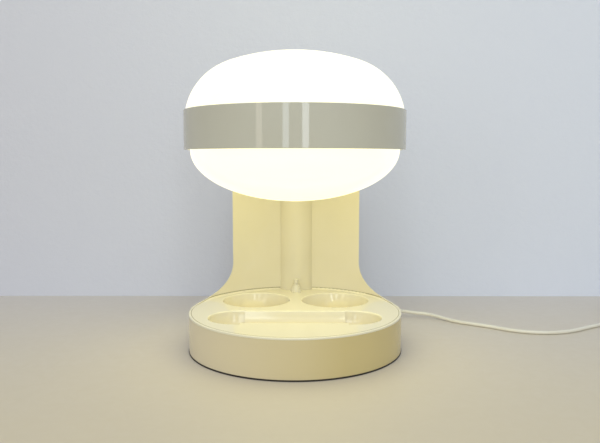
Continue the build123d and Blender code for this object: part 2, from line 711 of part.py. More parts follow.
def shoulder_centre(start, crown_z):
    """Centre (radius, z) of the shoulder arc that starts at a point and runs into the crown arc."""
    reach = UPPER_CROWN - UPPER_SHOULDER
    gap = hypot(start[0], start[1] - crown_z)
    near = (gap**2 + UPPER_SHOULDER**2 - reach**2) / (2 * gap)
    side = sqrt(UPPER_SHOULDER**2 - near**2)
    toward = (-start[0] / gap, (crown_z - start[1]) / gap)
    return start[0] + near * toward[0] + side * toward[1], start[1] + near * toward[1] - side * toward[0]


def upper_outline(inset):
    """Profile of the upper diffuser: skirt foot, shoulder start, middle and end, crown middle, apex."""
    start = (DIFFUSER_RADIUS, BAND_TOP - WELD)
    apex = BAND_TOP + UPPER_RISE
    crown_z = apex - UPPER_CROWN
    centre = shoulder_centre(start, crown_z)
    shoulder = UPPER_SHOULDER - inset
    crown = UPPER_CROWN - inset
    skirt = DIFFUSER_RADIUS - inset
    first = acos((skirt - centre[0]) / shoulder)
    last = acos(centre[0] / (UPPER_CROWN - UPPER_SHOULDER))
    middle = (first + last) / 2
    top_middle = (last + pi / 2) / 2
    return [
        (skirt, 0, SEAT_Z + SNUG),
        (skirt, 0, centre[1] + shoulder * sin(first)),
        (centre[0] + shoulder * cos(middle), 0, centre[1] + shoulder * sin(middle)),
        (centre[0] + shoulder * cos(last), 0, centre[1] + shoulder * sin(last)),
        (crown * cos(top_middle), 0, crown_z + crown * sin(top_middle)),
        (0, 0, apex - inset),
    ]


def make_upper_diffuser():
    """Opal dome: upright skirt inside the band, rounded shoulder and a flatter crown."""
    foot, start, bend, end, top_bend, apex = upper_outline(0)
    foot_in, start_in, bend_in, end_in, top_bend_in, apex_in = upper_outline(DIFFUSER_WALL)
    return turned(
        Line(foot, start),
        ThreePointArc(start, bend, end),
        ThreePointArc(end, top_bend, apex),
        Line(apex, apex_in),
        ThreePointArc(apex_in, top_bend_in, end_in),
        ThreePointArc(end_in, bend_in, start_in),
        Line(start_in, foot_in),
        Line(foot_in, foot),
    )


# ---------------------------------------------------------------- lampholder and bulb

def forward(shape, y=0.0):
    """Turns a piece drawn about +Z so that +Z points forward along the lamp axis, from the bracket's face."""
    return Pos(0, BRACKET_FACE_Y - y, LAMP_AXIS_Z) * Rot(90, 0, 0) * shape


def make_lampholder_bracket():
    """Steel strap on the back wall with a shelf and an upright face for the lampholder."""
    outer = INNER_RADIUS - SNUG
    strap = ring(outer - BRACKET_SHEET, outer, BRACKET_BOTTOM, BRACKET_TOP)
    strap &= sector(BASE_RADIUS, 90, BRACKET_HALF_ANGLE, BRACKET_BOTTOM, BRACKET_TOP)
    half = BRACKET_ARM_HALF_WIDTH
    shelf = block(-half, half, BRACKET_FACE_Y, BASE_RADIUS, BRACKET_BOTTOM, BRACKET_BOTTOM + BRACKET_SHEET)
    shelf &= rod(outer, BRACKET_BOTTOM, BRACKET_TOP)
    face = block(-half, half, BRACKET_FACE_Y, BRACKET_FACE_Y + BRACKET_SHEET, BRACKET_BOTTOM, BRACKET_FACE_TOP)
    bracket = strap + shelf + face
    bracket -= forward(rod(NIPPLE_RADIUS + SNUG, -2 * BRACKET_SHEET, BRACKET_SHEET))
    bracket -= rod(LEAD_HOLE_RADIUS, 0, BRACKET_TOP, 0, LEAD_HOLE_Y)
    for angle in BAND_SCREW_ANGLES:
        centre = Vector(0, 0, BAND_SCREW_Z)
        hole_radius = BAND_SCREW_RADIUS + SNUG / 2
        bracket -= along(centre, on_circle(1.0, angle), BAND_SCREW_TIP, BASE_RADIUS, hole_radius)
    return bracket


def make_lampholder_nipple():
    """Hollow brass tube that ties the lampholder to the bracket and lets the leads in."""
    back = -BRACKET_SHEET - HEX_NUT_HEIGHT - WELD
    front = back + NIPPLE_LENGTH
    return forward(rod(NIPPLE_RADIUS, back, front) - rod(NIPPLE_BORE, back - WELD, front + WELD))


def make_nipple_nut():
    """Hexagon nut behind the bracket's face."""
    outline = RegularPolygon(HEX_NUT_FLATS / 2, 6, major_radius=False)
    nut = Pos(0, 0, -BRACKET_SHEET - HEX_NUT_HEIGHT) * extrude(outline, HEX_NUT_HEIGHT)
    return forward(nut - rod(NIPPLE_RADIUS + SNUG / 2, -HEX_NUT_HEIGHT * 2, WELD))


def make_lampholder_cap():
    """Rear shell of the lampholder, screwed on the nipple."""
    wall = HOLDER_SKIRT_WALL
    cap = rod(HOLDER_CAP_RADIUS, 0, HOLDER_CAP_LENGTH)
    cap = fillet(cap.edges().group_by(Axis.Z)[0], HOLDER_CAP_ROUND)
    cap -= rod(HOLDER_CAP_RADIUS - wall, 2 * wall, HOLDER_CAP_LENGTH + WELD)
    return forward(cap - rod(NIPPLE_RADIUS + SNUG / 2, -WELD, HOLDER_CAP_LENGTH))


def make_lampholder_skirt():
    """Front shell of the lampholder, round the bulb's cap."""
    wall = HOLDER_SKIRT_WALL
    front = HOLDER_CAP_LENGTH + HOLDER_SKIRT_LENGTH
    skirt = lathe(
        (HOLDER_CAP_RADIUS - wall, HOLDER_CAP_LENGTH),
        (HOLDER_CAP_RADIUS, HOLDER_CAP_LENGTH),
        (HOLDER_SKIRT_RADIUS, front),
        (HOLDER_SKIRT_RADIUS - wall, front),
    )
    return forward(skirt)


def make_lampholder_insert():
    """Ceramic disc inside the skirt that carries the contacts."""
    radius = HOLDER_CAP_RADIUS - HOLDER_SKIRT_WALL - SNUG / 2
    return forward(rod(radius, HOLDER_CAP_LENGTH, HOLDER_CAP_LENGTH + INSERT_THICKNESS))


def make_lamp_contacts():
    """Round centre contact and a side contact blade on the ceramic disc."""
    face = HOLDER_CAP_LENGTH + INSERT_THICKNESS
    centre = rod(CONTACT_RADIUS, face, face + CONTACT_HEIGHT)
    side = BULB_CAP_RADIUS + 2 * SNUG
    half = TAG_WIDTH
    blade = block(side, side + TAG_SHEET, -half, half, face, face + BLADE_LENGTH)
    return forward(Compound([centre, blade]))


def make_bulb_cap():
    """Metal screw shell of the bulb, with its closed contact end."""
    start = BULB_CAP_START
    shell = lathe(
        (0, start),
        (CONTACT_RADIUS, start),
        (CONTACT_RADIUS + 1.5, start + 2.0),
        (BULB_CAP_RADIUS - 2.5, start + 3.5),
        (BULB_CAP_RADIUS, start + 6.0),
        (BULB_CAP_RADIUS, start + BULB_CAP_LENGTH),
        (BULB_CAP_RADIUS - BULB_CAP_WALL, start + BULB_CAP_LENGTH),
        (BULB_CAP_RADIUS - BULB_CAP_WALL, start + 6.5),
        (0, start + 4.5),
    )
    return forward(shell)


def bulb_profile(inset):
    """Neck foot, neck top, and middle and end of the neck's flare, then the globe's side and tip."""
    neck = BULB_CAP_RADIUS - BULB_CAP_WALL - SNUG / 2
    foot = BULB_CAP_START + BULB_CAP_LENGTH - BULB_NECK_SEAT
    flare_z = foot + BULB_NECK_LENGTH
    tip = foot + BULB_GLASS_LENGTH
    globe_z = tip - BULB_RADIUS
    rise = globe_z - flare_z
    flare = (neck**2 + rise**2 - BULB_RADIUS**2) / (2 * (BULB_RADIUS - neck))
    turn = atan2(rise, neck + flare)
    outer = flare + inset
    globe = BULB_RADIUS - inset
    return [
        (neck - inset, 0, foot),
        (neck - inset, 0, flare_z),
        (neck + flare - outer * cos(turn / 2), 0, flare_z + outer * sin(turn / 2)),
        (neck + flare - outer * cos(turn), 0, flare_z + outer * sin(turn)),
        (globe * cos((pi / 2 - turn) / 2), 0, globe_z + globe * sin((pi / 2 - turn) / 2)),
        (0, 0, tip - inset),
    ]


def make_bulb_glass():
    """Thin glass bulb: neck, flare and round globe."""
    foot, top, bend, end, side, tip = bulb_profile(0)
    foot_in, top_in, bend_in, end_in, side_in, tip_in = bulb_profile(BULB_GLASS_WALL)
    glass = turned(
        Line(foot, top),
        ThreePointArc(top, bend, end),
        ThreePointArc(end, side, tip),
        Line(tip, tip_in),
        ThreePointArc(tip_in, side_in, end_in),
        ThreePointArc(end_in, bend_in, top_in),
        Line(top_in, foot_in),
        Line(foot_in, foot),
    )
    return forward(glass)


# ---------------------------------------------------------------- wiring in the base

def wire(radius, points, radii):
    """Round wire along straight runs joined by tangent arcs."""
    path = FilletPolyline(*points, radius=radii)
    section = Plane(origin=path @ 0, z_dir=path % 0) * Circle(radius)
    return sweep(section, path)


def bend_radii(points):
    """Largest tangent arcs that fit: 0.45 of the shorter run over the tangent of half the turn."""
    radii = []
    for before, here, after in zip(points, points[1:], points[2:]):
        first = Vector(*here) - Vector(*before)
        second = Vector(*after) - Vector(*here)
        half_turn = radians(first.get_angle(second)) / 2
        radii.append(0.45 * min(first.length, second.length) / tan(half_turn))
    return radii


def make_terminal_block():
    """Insulating block on the bottom cover with four screw wells in its top."""
    half = BLOCK_LENGTH / 2
    shape = block(BLOCK_X - half, BLOCK_X + half, BLOCK_Y - BLOCK_WIDTH / 2, BLOCK_Y + BLOCK_WIDTH / 2,
                  COVER_TOP, COVER_TOP + BLOCK_HEIGHT)
    top = COVER_TOP + BLOCK_HEIGHT
    for x, y in terminal_places():
        shape -= rod(BLOCK_SCREW_RADIUS + SNUG / 2, top - BLOCK_HEIGHT / 2, top + WELD, x, y)
    return shape


def terminal_places():
    """Centres of the four terminal screws."""
    step = BLOCK_SCREW_X
    return [(BLOCK_X + side * step, BLOCK_Y + end * step) for side in (-1, 1) for end in (-1, 1)]


def make_terminal_screws():
    """Slotted grub screws in the terminal block."""
    bottom = COVER_TOP + BLOCK_HEIGHT / 2
    top = COVER_TOP + BLOCK_HEIGHT - WELD
    screws = []
    for x, y in terminal_places():
        screw = rod(BLOCK_SCREW_RADIUS, bottom, top, x, y)
        half = SLOT_WIDTH / 2
        slot = block(x - BLOCK_SCREW_RADIUS, x + BLOCK_SCREW_RADIUS, y - half, y + half, top - SLOT_DEPTH, top)
        screws.append(screw - slot)
    return Compound(screws)


def clamp_centre():
    """Middle of the cord clamp, straight inwards from the gland."""
    return exit_point() - exit_direction() * CLAMP_INSET


def make_cord_clamp():
    """Saddle on the bottom cover that grips the cord inside the drum."""
    centre = clamp_centre()
    height = EXIT_Z + CORD_RADIUS + CLAMP_OVER - COVER_TOP
    middle = Vector(centre.X, centre.Y, COVER_TOP + height / 2)
    place = Plane(origin=middle, x_dir=exit_direction(), z_dir=(0, 0, 1))
    saddle = place * Box(CLAMP_LENGTH, CLAMP_WIDTH, height)
    saddle -= along(centre, exit_direction(), -CLAMP_LENGTH, CLAMP_LENGTH, CORD_RADIUS)
    for hole in clamp_screw_places():
        saddle -= rod(SCREW_RADIUS, COVER_TOP + WELD, EXIT_Z + 10.0, hole.X, hole.Y)
    return saddle


def clamp_screw_places():
    """Centres of the clamp's two screws, one each side of the cord."""
    across = Vector(-exit_direction().Y, exit_direction().X, 0)
    return [clamp_centre() + across * side * CLAMP_SCREW_OFFSET for side in (-1, 1)]


def make_clamp_screws():
    """Two pan-head screws of the cord clamp."""
    top = EXIT_Z + CORD_RADIUS + CLAMP_OVER
    screws = []
    for place in clamp_screw_places():
        shank = rod(SCREW_RADIUS - SNUG / 2, COVER_TOP + 2 * WELD, top, place.X, place.Y)
        screws.append(shank + rod(SCREW_HEAD_RADIUS, top, top + SCREW_HEAD_HEIGHT, place.X, place.Y))
    return Compound(screws)


def relief_tip():
    """Outer end of the strain relief, where the free cord begins."""
    return exit_point() + exit_direction() * RELIEF_LENGTH


def make_strain_relief():
    """Tapered gland: a nose outside the drum, a neck through its wall and a flange inside."""
    start = exit_point()
    direction = exit_direction()
    neck_end = SHELL_WALL + CLEARANCE
    gland = cone_along(start, direction, 0, RELIEF_LENGTH, RELIEF_ROOT_RADIUS, RELIEF_TIP_RADIUS)
    gland += along(start, direction, -neck_end, 0, RELIEF_NECK_RADIUS)
    gland += along(start, direction, -neck_end - RELIEF_FLANGE, -neck_end, RELIEF_FLANGE_RADIUS)
    return gland - along(start, direction, -2 * RELIEF_FLANGE_RADIUS, RELIEF_LENGTH + WELD, CORD_RADIUS)


def make_cord_inner():
    """Cord from the gland's tip through the clamp, then low along the cover to the terminal block."""
    low = COVER_TOP + CORD_RADIUS + CLEARANCE
    side = BLOCK_X + BLOCK_LENGTH / 2
    bend = clamp_centre() - exit_direction() * CLAMP_LENGTH
    points = [
        tuple(relief_tip()),
        tuple(bend),
        (side + 14.0, BLOCK_Y + 32.0, low),
        (side + 16.0, BLOCK_Y, low),
        (side, BLOCK_Y, low),
    ]
    radii = [min(radius, INNER_BEND) for radius in bend_radii(points)]
    return wire(CORD_RADIUS, points, radii)


def make_leads():
    """Three single leads: block to switch, switch to lampholder, and block to lampholder."""
    block_back = BLOCK_Y + BLOCK_WIDTH / 2
    low = COVER_TOP + BLOCK_HEIGHT / 2
    tag_z = TRAY_UNDERSIDE - SWITCH_BODY_DEPTH - TAG_DROP / 2
    spread = LEAD_RADIUS + 2 * SNUG
    holder_y = BRACKET_FACE_Y - HOLDER_CAP_LENGTH
    live = [
        (BLOCK_X - BLOCK_SCREW_X, block_back, low),
        (BLOCK_X - BLOCK_SCREW_X, block_back + 20.0, low),
        (BLOCK_X - TAG_X, SWITCH_Y - 26.0, low + 3.0),
        (-TAG_X, SWITCH_Y - 12.0, tag_z),
        (-TAG_X, SWITCH_Y - TAG_SHEET / 2, tag_z),
    ]
    switched = [
        (TAG_X, SWITCH_Y + TAG_SHEET / 2, tag_z),
        (TAG_X, LEAD_HOLE_Y, tag_z),
        (spread, LEAD_HOLE_Y, TRAY_UNDERSIDE + 10.0),
        (spread, LEAD_HOLE_Y, LAMP_AXIS_Z),
        (spread, holder_y, LAMP_AXIS_Z),
    ]
    neutral = [
        (BLOCK_X + BLOCK_SCREW_X, block_back, low),
        (BLOCK_X + BLOCK_SCREW_X, block_back + 26.0, low - 1.0),
        (BLOCK_X + 2.0, SWITCH_Y - 20.0, low - 2.0),
        (-spread, LEAD_HOLE_Y, low - 2.0),
        (-spread, LEAD_HOLE_Y, LAMP_AXIS_Z),
        (-spread, holder_y, LAMP_AXIS_Z),
    ]
    routes = {"lead_live": live, "lead_switched": switched, "lead_neutral": neutral}
    return {name: wire(LEAD_RADIUS, route, bend_radii(route)) for name, route in routes.items()}


# ---------------------------------------------------------------- free cord

def cord_points():
    """The free cord's route, from the gland's tip to the coil."""
    start = relief_tip()
    lead = start + exit_direction() * CORD_LEAD
    return [tuple(start), tuple(lead), *CORD_ROUTE]


def make_cord_tube():
    """Free cord from the gland to the coil."""
    points = cord_points()
    radii = bend_radii(points)
    print("cord bend radii:", [round(r, 1) for r in radii])
    path = FilletPolyline(*points, radius=radii)
    print("cord tube length:", round(path.length, 1))
    return wire(CORD_RADIUS, points, radii)


def coil_ring(section):
    """Ring of square section about the coil's axis."""
    half = section / 2
    middle = SNUG / 2 + COIL_SECTION / 2
    shape = ring(COIL_RADIUS - half, COIL_RADIUS + half, middle - half, middle + half)
    return Pos(COIL_X, COIL_Y, 0) * shape


def tie_slice(width):
    """Slab across the front of the coil, where the tie goes round it."""
    return block(COIL_X - width / 2, COIL_X + width / 2, COIL_Y - 2 * COIL_RADIUS, COIL_Y, 0, 2 * COIL_SECTION)


def make_cord_coil():
    """Put-away length of cord as one ring, with a waist for the tie."""
    coil = coil_ring(COIL_SECTION)
    waist = coil_ring(COIL_SECTION) - coil_ring(COIL_SECTION - 2 * TIE_WALL - SNUG)
    return coil - (waist & tie_slice(TIE_WIDTH + SNUG))


def make_cord_tie():
    """Flat strap round the coil."""
    return (coil_ring(COIL_SECTION) - coil_ring(COIL_SECTION - 2 * TIE_WALL)) & tie_slice(TIE_WIDTH)


def plug_back():
    """Where the cord meets the plug."""
    return Vector(COIL_X + COIL_RADIUS + PLUG_OFFSET, COIL_Y - TAIL_LENGTH, PLUG_THICKNESS / 2 + SNUG / 2)


def make_cord_tail():
    """Last stretch of cord, from the coil to the plug."""
    outer = COIL_X + COIL_RADIUS + COIL_SECTION / 2 - CORD_RADIUS - SNUG
    end = plug_back()
    points = [
        (outer, COIL_Y + 2.0, CORD_LIE + SNUG),
        (outer + 0.6, COIL_Y - 9.0, CORD_LIE + SNUG),
        (end.X - 0.2, COIL_Y - 20.0, end.Z - 0.5),
        (end.X, end.Y + 9.0, end.Z),
        (end.X, end.Y, end.Z),
    ]
    return wire(CORD_RADIUS, points, bend_radii(points))


def make_plug_body():
    """Flat two-pin plug: narrow where the cord enters, wide at the pins."""
    back = plug_back()
    rear = PLUG_REAR_WIDTH / 2
    wide = PLUG_WIDTH / 2
    outline = Polyline(
        (back.X - rear, back.Y, 0),
        (back.X + rear, back.Y, 0),
        (back.X + wide, back.Y - PLUG_SHOULDER, 0),
        (back.X + wide, back.Y - PLUG_LENGTH, 0),
        (back.X - wide, back.Y - PLUG_LENGTH, 0),
        (back.X - wide, back.Y - PLUG_SHOULDER, 0),
        close=True,
    )
    body = Pos(0, 0, SNUG / 2) * extrude(make_face(outline), PLUG_THICKNESS, dir=(0, 0, 1))
    body = fillet(body.edges().filter_by(Axis.Z), PLUG_CORNER)
    return chamfer(body.edges().group_by(Axis.Z)[-1] + body.edges().group_by(Axis.Z)[0], PLUG_CHAMFER)


def make_plug_pins():
    """Two round pins."""
    back = plug_back()
    pins = []
    for side in (-1, 1):
        root = Vector(back.X + side * PIN_SPACING / 2, back.Y - PLUG_LENGTH, back.Z)
        pin = along(root, Vector(0, -1, 0), 0, PIN_LENGTH, PIN_RADIUS)
        pins.append(fillet(pin.edges().group_by(Axis.Y)[0], PIN_ROUND))
    return Compound(pins)


def main():
    """Builds every piece and writes it."""
    os.makedirs("parts", exist_ok=True)
    pieces = {
        "base_shell": make_base_shell(),
        "tray": make_tray(),
        "bottom_cover": make_bottom_cover(),
        "rubber_feet": make_rubber_feet(),
        "bottom_screws": make_bottom_screws(),
        "column_cover": make_column_cover(),
        "switch_body": make_switch_body(),
        "switch_tags": make_switch_tags(),
        "switch_ring_nut": make_switch_ring_nut(),
        "push_button": make_push_button(),
        "button_spring": make_button_spring(),
        "head_band": make_head_band(),
        "band_screws": make_band_screws(),
        "lower_diffuser": make_lower_diffuser(),
        "upper_diffuser": make_upper_diffuser(),
        "lampholder_bracket": make_lampholder_bracket(),
        "lampholder_nipple": make_lampholder_nipple(),
        "nipple_nut": make_nipple_nut(),
        "lampholder_cap": make_lampholder_cap(),
        "lampholder_skirt": make_lampholder_skirt(),
        "lampholder_insert": make_lampholder_insert(),
        "lamp_contacts": make_lamp_contacts(),
        "bulb_cap": make_bulb_cap(),
        "bulb_glass": make_bulb_glass(),
        "terminal_block": make_terminal_block(),
        "terminal_screws": make_terminal_screws(),
        "cord_clamp": make_cord_clamp(),
        "clamp_screws": make_clamp_screws(),
        "strain_relief": make_strain_relief(),
        "cord_inner": make_cord_inner(),
        "cord_tube": make_cord_tube(),
        "cord_coil": make_cord_coil(),
        "cord_tie": make_cord_tie(),
        "cord_tail": make_cord_tail(),
        "plug_body": make_plug_body(),
        "plug_pins": make_plug_pins(),
    }
    pieces.update(make_leads())
    for name, shape in pieces.items():
        write(name, shape)


main()
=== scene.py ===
# %% [markdown]
# # A table lamp with a tray base and a wide glowing head
#
# The lamp is three things stacked up: a low drum whose top is a tray for pens and clips, a curved back wall
# that grows out of the drum, and a wide head made of two opal bowls held in a plastic band.
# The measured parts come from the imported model. This lesson gives them their finishes, models the soft and
# small pieces again by hand, lays the mains cord, and sets up the camera and the lights.

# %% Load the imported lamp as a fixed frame
from math import cos, pi, radians, sin

import bmesh
import bpy
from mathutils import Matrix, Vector


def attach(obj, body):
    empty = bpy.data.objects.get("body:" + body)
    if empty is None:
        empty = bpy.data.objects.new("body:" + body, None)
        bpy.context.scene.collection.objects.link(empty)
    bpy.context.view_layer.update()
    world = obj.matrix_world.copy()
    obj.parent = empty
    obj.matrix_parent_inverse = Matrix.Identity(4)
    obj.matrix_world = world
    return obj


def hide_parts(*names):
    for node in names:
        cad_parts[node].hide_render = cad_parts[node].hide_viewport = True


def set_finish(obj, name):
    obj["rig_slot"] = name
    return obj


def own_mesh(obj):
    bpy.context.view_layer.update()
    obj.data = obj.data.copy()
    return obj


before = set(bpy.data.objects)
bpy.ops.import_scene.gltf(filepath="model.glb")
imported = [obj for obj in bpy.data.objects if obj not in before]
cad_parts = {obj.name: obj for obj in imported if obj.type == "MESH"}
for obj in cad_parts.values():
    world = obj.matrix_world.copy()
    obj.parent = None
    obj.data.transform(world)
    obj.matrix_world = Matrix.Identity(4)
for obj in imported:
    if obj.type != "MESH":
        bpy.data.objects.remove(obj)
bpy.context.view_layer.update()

# %% [markdown]
# ## The camera
#
# The lamp is seen from the front, a little above its middle, from about seven tenths of a metre. A long
# portrait lens would flatten the tray, so a moderately wide one is used, tipped down a few degrees.
# There is no shift and no depth of field, so the same camera can be carried round the lamp later.

# %% Camera in front of the lamp
LENS = 38.42
SENSOR = 36.0
CAMERA_PLACE = (0.0085, -0.7177, 0.2138)
CAMERA_TIP = 5.6
CAMERA_TURN = 0.24

bpy.ops.object.camera_add(
    location=CAMERA_PLACE,
    rotation=(radians(90 - CAMERA_TIP), 0, radians(CAMERA_TURN)),
)
camera = bpy.context.object
camera.name = "studio_camera"
camera.data.lens = LENS
camera.data.sensor_width = SENSOR
bpy.context.scene.camera = camera
print("camera", camera.name, "lens", LENS, "mm")

# %% [markdown]
# ## Small helpers for modelling by hand
#
# Every operator acts on all that is selected, and loading the frame leaves the parts selected. So each new
# piece starts with nothing selected, and faces are picked in code by where they are or which way they face.
# A finished piece keeps its place in its mesh, with its object at the origin.

# %% Helpers: start clean, pick faces, finish a piece
MM = 0.001
SMOOTH_BELOW = 35.0
ROUND_ABOVE = 30.0


def millimetres(*values):
    """A point given in millimetres, as a vector in metres."""
    return Vector(values) * MM


def deselect_all():
    """Leaves edit mode and selects nothing."""
    if bpy.context.object and bpy.context.object.mode != "OBJECT":
        bpy.ops.object.mode_set(mode="OBJECT")
    bpy.ops.object.select_all(action="DESELECT")


def start(name):
    """The newly added primitive, named, in edit mode with nothing selected."""
    piece = bpy.context.object
    piece.name = piece.data.name = name
    bpy.ops.object.mode_set(mode="EDIT")
    bpy.ops.mesh.select_all(action="DESELECT")
    return piece


def start_block(name, low, high):
    """A block between two corners in millimetres, as a new piece in edit mode."""
    bpy.ops.mesh.primitive_cube_add(size=1.0, location=(0, 0, 0))
    piece = start(name)
    low, high = millimetres(*low), millimetres(*high)
    bpy.ops.mesh.select_all(action="SELECT")
    bpy.ops.transform.resize(value=tuple(high - low))
    bpy.ops.transform.translate(value=tuple((high + low) / 2))
    return piece


def pick(piece, wanted, kind="FACE"):
    """Selects the faces, edges or vertices whose centre and normal pass a test, in object coordinates."""
    bpy.ops.mesh.select_mode(type=kind)
    bpy.ops.mesh.select_all(action="DESELECT")
    mesh = bmesh.from_edit_mesh(piece.data)
    for part in {"FACE": mesh.faces, "EDGE": mesh.edges, "VERT": mesh.verts}[kind]:
        if kind == "FACE":
            place, facing = part.calc_center_median(), part.normal
        elif kind == "EDGE":
            place, facing = (part.verts[0].co + part.verts[1].co) / 2, Vector()
        else:
            place, facing = part.co, part.normal
        if wanted(place, facing):
            part.select_set(True)
    mesh.select_flush_mode()
    bmesh.update_edit_mesh(piece.data)


def cut_across(axis, levels):
    """Cuts the whole piece square to an axis, at each of the levels in millimetres."""
    for level in levels:
        bpy.ops.mesh.select_all(action="SELECT")
        bpy.ops.mesh.bisect(plane_co=tuple(Vector(axis) * level * MM), plane_no=axis)


def lift(distance):
    """Pulls the selected faces up by millimetres, or down when negative."""
    bpy.ops.mesh.extrude_region_move(TRANSFORM_OT_translate={"value": (0, 0, distance * MM)})


def sink(depth):
    """Sinks the selected faces along their normals by millimetres."""
    bpy.ops.mesh.extrude_region_shrink_fatten(TRANSFORM_OT_shrink_fatten={"value": -depth * MM})


def round_edges(piece, width, segments, above=ROUND_ABOVE):
    """Rounds every edge that turns by more than an angle in degrees."""
    rounding = piece.modifiers.new("rounding", "BEVEL")
    rounding.width, rounding.segments = width * MM, segments
    rounding.limit_method, rounding.angle_limit = "ANGLE", radians(above)


def settle(piece, smooth_below=SMOOTH_BELOW):
    """Leaves edit mode, applies the piece's place and modifiers, and shades it smooth up to an angle."""
    deselect_all()
    piece.select_set(True)
    bpy.context.view_layer.objects.active = piece
    bpy.ops.object.transform_apply(location=True, rotation=True, scale=True)
    for modifier in list(piece.modifiers):
        bpy.ops.object.modifier_apply(modifier=modifier.name)
    bpy.ops.object.mode_set(mode="EDIT")
    bpy.ops.mesh.select_all(action="SELECT")
    bpy.ops.mesh.remove_doubles(threshold=1e-6)
    bpy.ops.mesh.normals_make_consistent(inside=False)
    bpy.ops.object.mode_set(mode="OBJECT")
    bpy.ops.object.shade_smooth_by_angle(angle=radians(smooth_below))
    deselect_all()
    print(f"{piece.name}: {len(piece.data.polygons)} faces")


deselect_all()
print("nothing is selected, ready to model")

# %% [markdown]
# ## The mains cord
#
# A round pale mains cord, 4.5 mm thick and about 1.8 m long, leaves the back of the drum through a flex
# guard, drops to the table and wanders off to the right. What is out of sight is wound in a neat round
# coil under a tie, with the plug beside it. A spline with a few points bends the way a real
# cord does, far better than straight runs with rounded corners. The coil is more points of the same
# spline, sixteen to a turn, laid in layers a cord's thickness apart. A curve's box grows by the radius of
# its points, so the thickness is put there, and the bevel is one.

# %% Lay the cord: free run, coil and tail on one spline
CORD_THICK = 4.5
CORD_EXIT = (62.55, 134.13, 12.0)
CORD_RUN = (
    (69.3, 148.6, 12.0), (83, 159.5, 11), (103, 161, 10.2), (121, 149, 9.4), (138, 136.5, 8.6),
    (158, 130.5, 7.4), (178, 128.5, 5.6), (193.5, 117.5, 3.6), (207, 102.5, 2.5), (226, 90.5, 2.3),
    (246, 77.5, 2.3), (262, 63, 2.3), (281, 52, 2.3), (304, 48, 2.3), (327, 51, 2.3), (348, 60.5, 2.3),
    (370, 75.5, 2.3), (391, 87.5, 2.3), (406, 97, 2.3), (415.5, 110, 2.3),
)
CORD_TAIL = ((477.6, 116, 14.4), (478.4, 106, 9.6), (479, 98, 7.0), (479, 90.5, 6.85))
COIL_CENTRE = (449.0, 126.0)
COIL_POINTS = 16
CORD_STEPS, CORD_ROUNDNESS = 5, 5
COIL_TURNS = 8.5
# Each stretch of winding: last turn, radius and height at its end. It starts where the one before ends.
COIL_START = (29.55, 2.3)
COIL_STRETCHES = (
    (2.0, 20.45, 2.3), (2.25, 20.45, 6.85), (4.25, 29.55, 6.85), (4.5, 29.55, 11.4),
    (6.5, 20.45, 11.4), (6.75, 20.45, 15.95), (8.75, 29.55, 15.95),
)


def coil_point(turn):
    """Point of the winding after so many clockwise turns from the coil's left side."""
    before, radius, height = 0.0, *COIL_START
    for last, next_radius, next_height in COIL_STRETCHES:
        if turn <= last:
            share = (turn - before) / (last - before)
            radius += (next_radius - radius) * share
            height += (next_height - height) * share
            break
        before, radius, height = last, next_radius, next_height
    # The spline cuts inside its own points by this share, so they stand a little further out.
    reach = radius / (0.75 + 0.25 * cos(2 * pi / COIL_POINTS))
    angle = pi - 2 * pi * turn
    return (COIL_CENTRE[0] + reach * cos(angle), COIL_CENTRE[1] + reach * sin(angle), height)


coil = [coil_point(step / COIL_POINTS) for step in range(int(COIL_TURNS * COIL_POINTS) + 1)]
route = [CORD_EXIT, *CORD_RUN, *coil, *CORD_TAIL]

bpy.ops.curve.primitive_nurbs_path_add(location=(0, 0, 0))
cord = bpy.context.object
cord.name = cord.data.name = "mains_cord"
cord.data.splines.clear()
line = cord.data.splines.new("NURBS")
line.points.add(len(route) - 1)
for point, place in zip(line.points, route):
    point.co = (*millimetres(*place), 1.0)
    point.radius = CORD_THICK / 2 * MM
line.order_u, line.resolution_u = 3, CORD_STEPS
line.use_endpoint_u = True
cord.data.dimensions = "3D"
cord.data.bevel_depth, cord.data.bevel_resolution = 1.0, CORD_ROUNDNESS
cord.data.use_fill_caps = True
deselect_all()
print("cord spline with", len(route), "points")

# %% [markdown]
# ## The cord's tie
#
# A soft plastic strap holds the coil together at its near side. It starts as a block the size of the bundle,
# its two open ends are deleted, the corners are rounded, and the sheet is given a wall.

# %% Strap round the coil
TIE_X = 449.0
TIE_WIDTH = 5.0
TIE_WALL = 0.8
TIE_CORNER, TIE_EDGE = 3.0, 0.25
BUNDLE_Y = (94.9, 108.3)
BUNDLE_Z = (0.9, 18.5)

tie = start_block(
    "cord_tie_strap",
    (TIE_X - TIE_WIDTH / 2, BUNDLE_Y[0], BUNDLE_Z[0]),
    (TIE_X + TIE_WIDTH / 2, BUNDLE_Y[1], BUNDLE_Z[1]),
)
pick(tie, lambda place, facing: abs(facing.x) > 0.9)
bpy.ops.mesh.delete(type="FACE")
pick(tie, lambda place, facing: abs(place.x - TIE_X * MM) < 1e-4, "EDGE")
bpy.ops.mesh.bevel(offset=TIE_CORNER * MM, segments=5)
bpy.ops.object.mode_set(mode="OBJECT")
sheet = tie.modifiers.new("sheet", "SOLIDIFY")
sheet.thickness, sheet.offset = TIE_WALL * MM, 1.0
round_edges(tie, TIE_EDGE, 2)
settle(tie)

# %% [markdown]
# ## The flex guard
#
# The tapered rubbery sleeve that keeps the cord from kinking where it leaves the drum. A long cylinder is
# cut into rings, every other ring is pulled in to make the grooves, and the rings shrink towards the tip.
# Then the sleeve is turned to point out of the drum in the cord's direction.

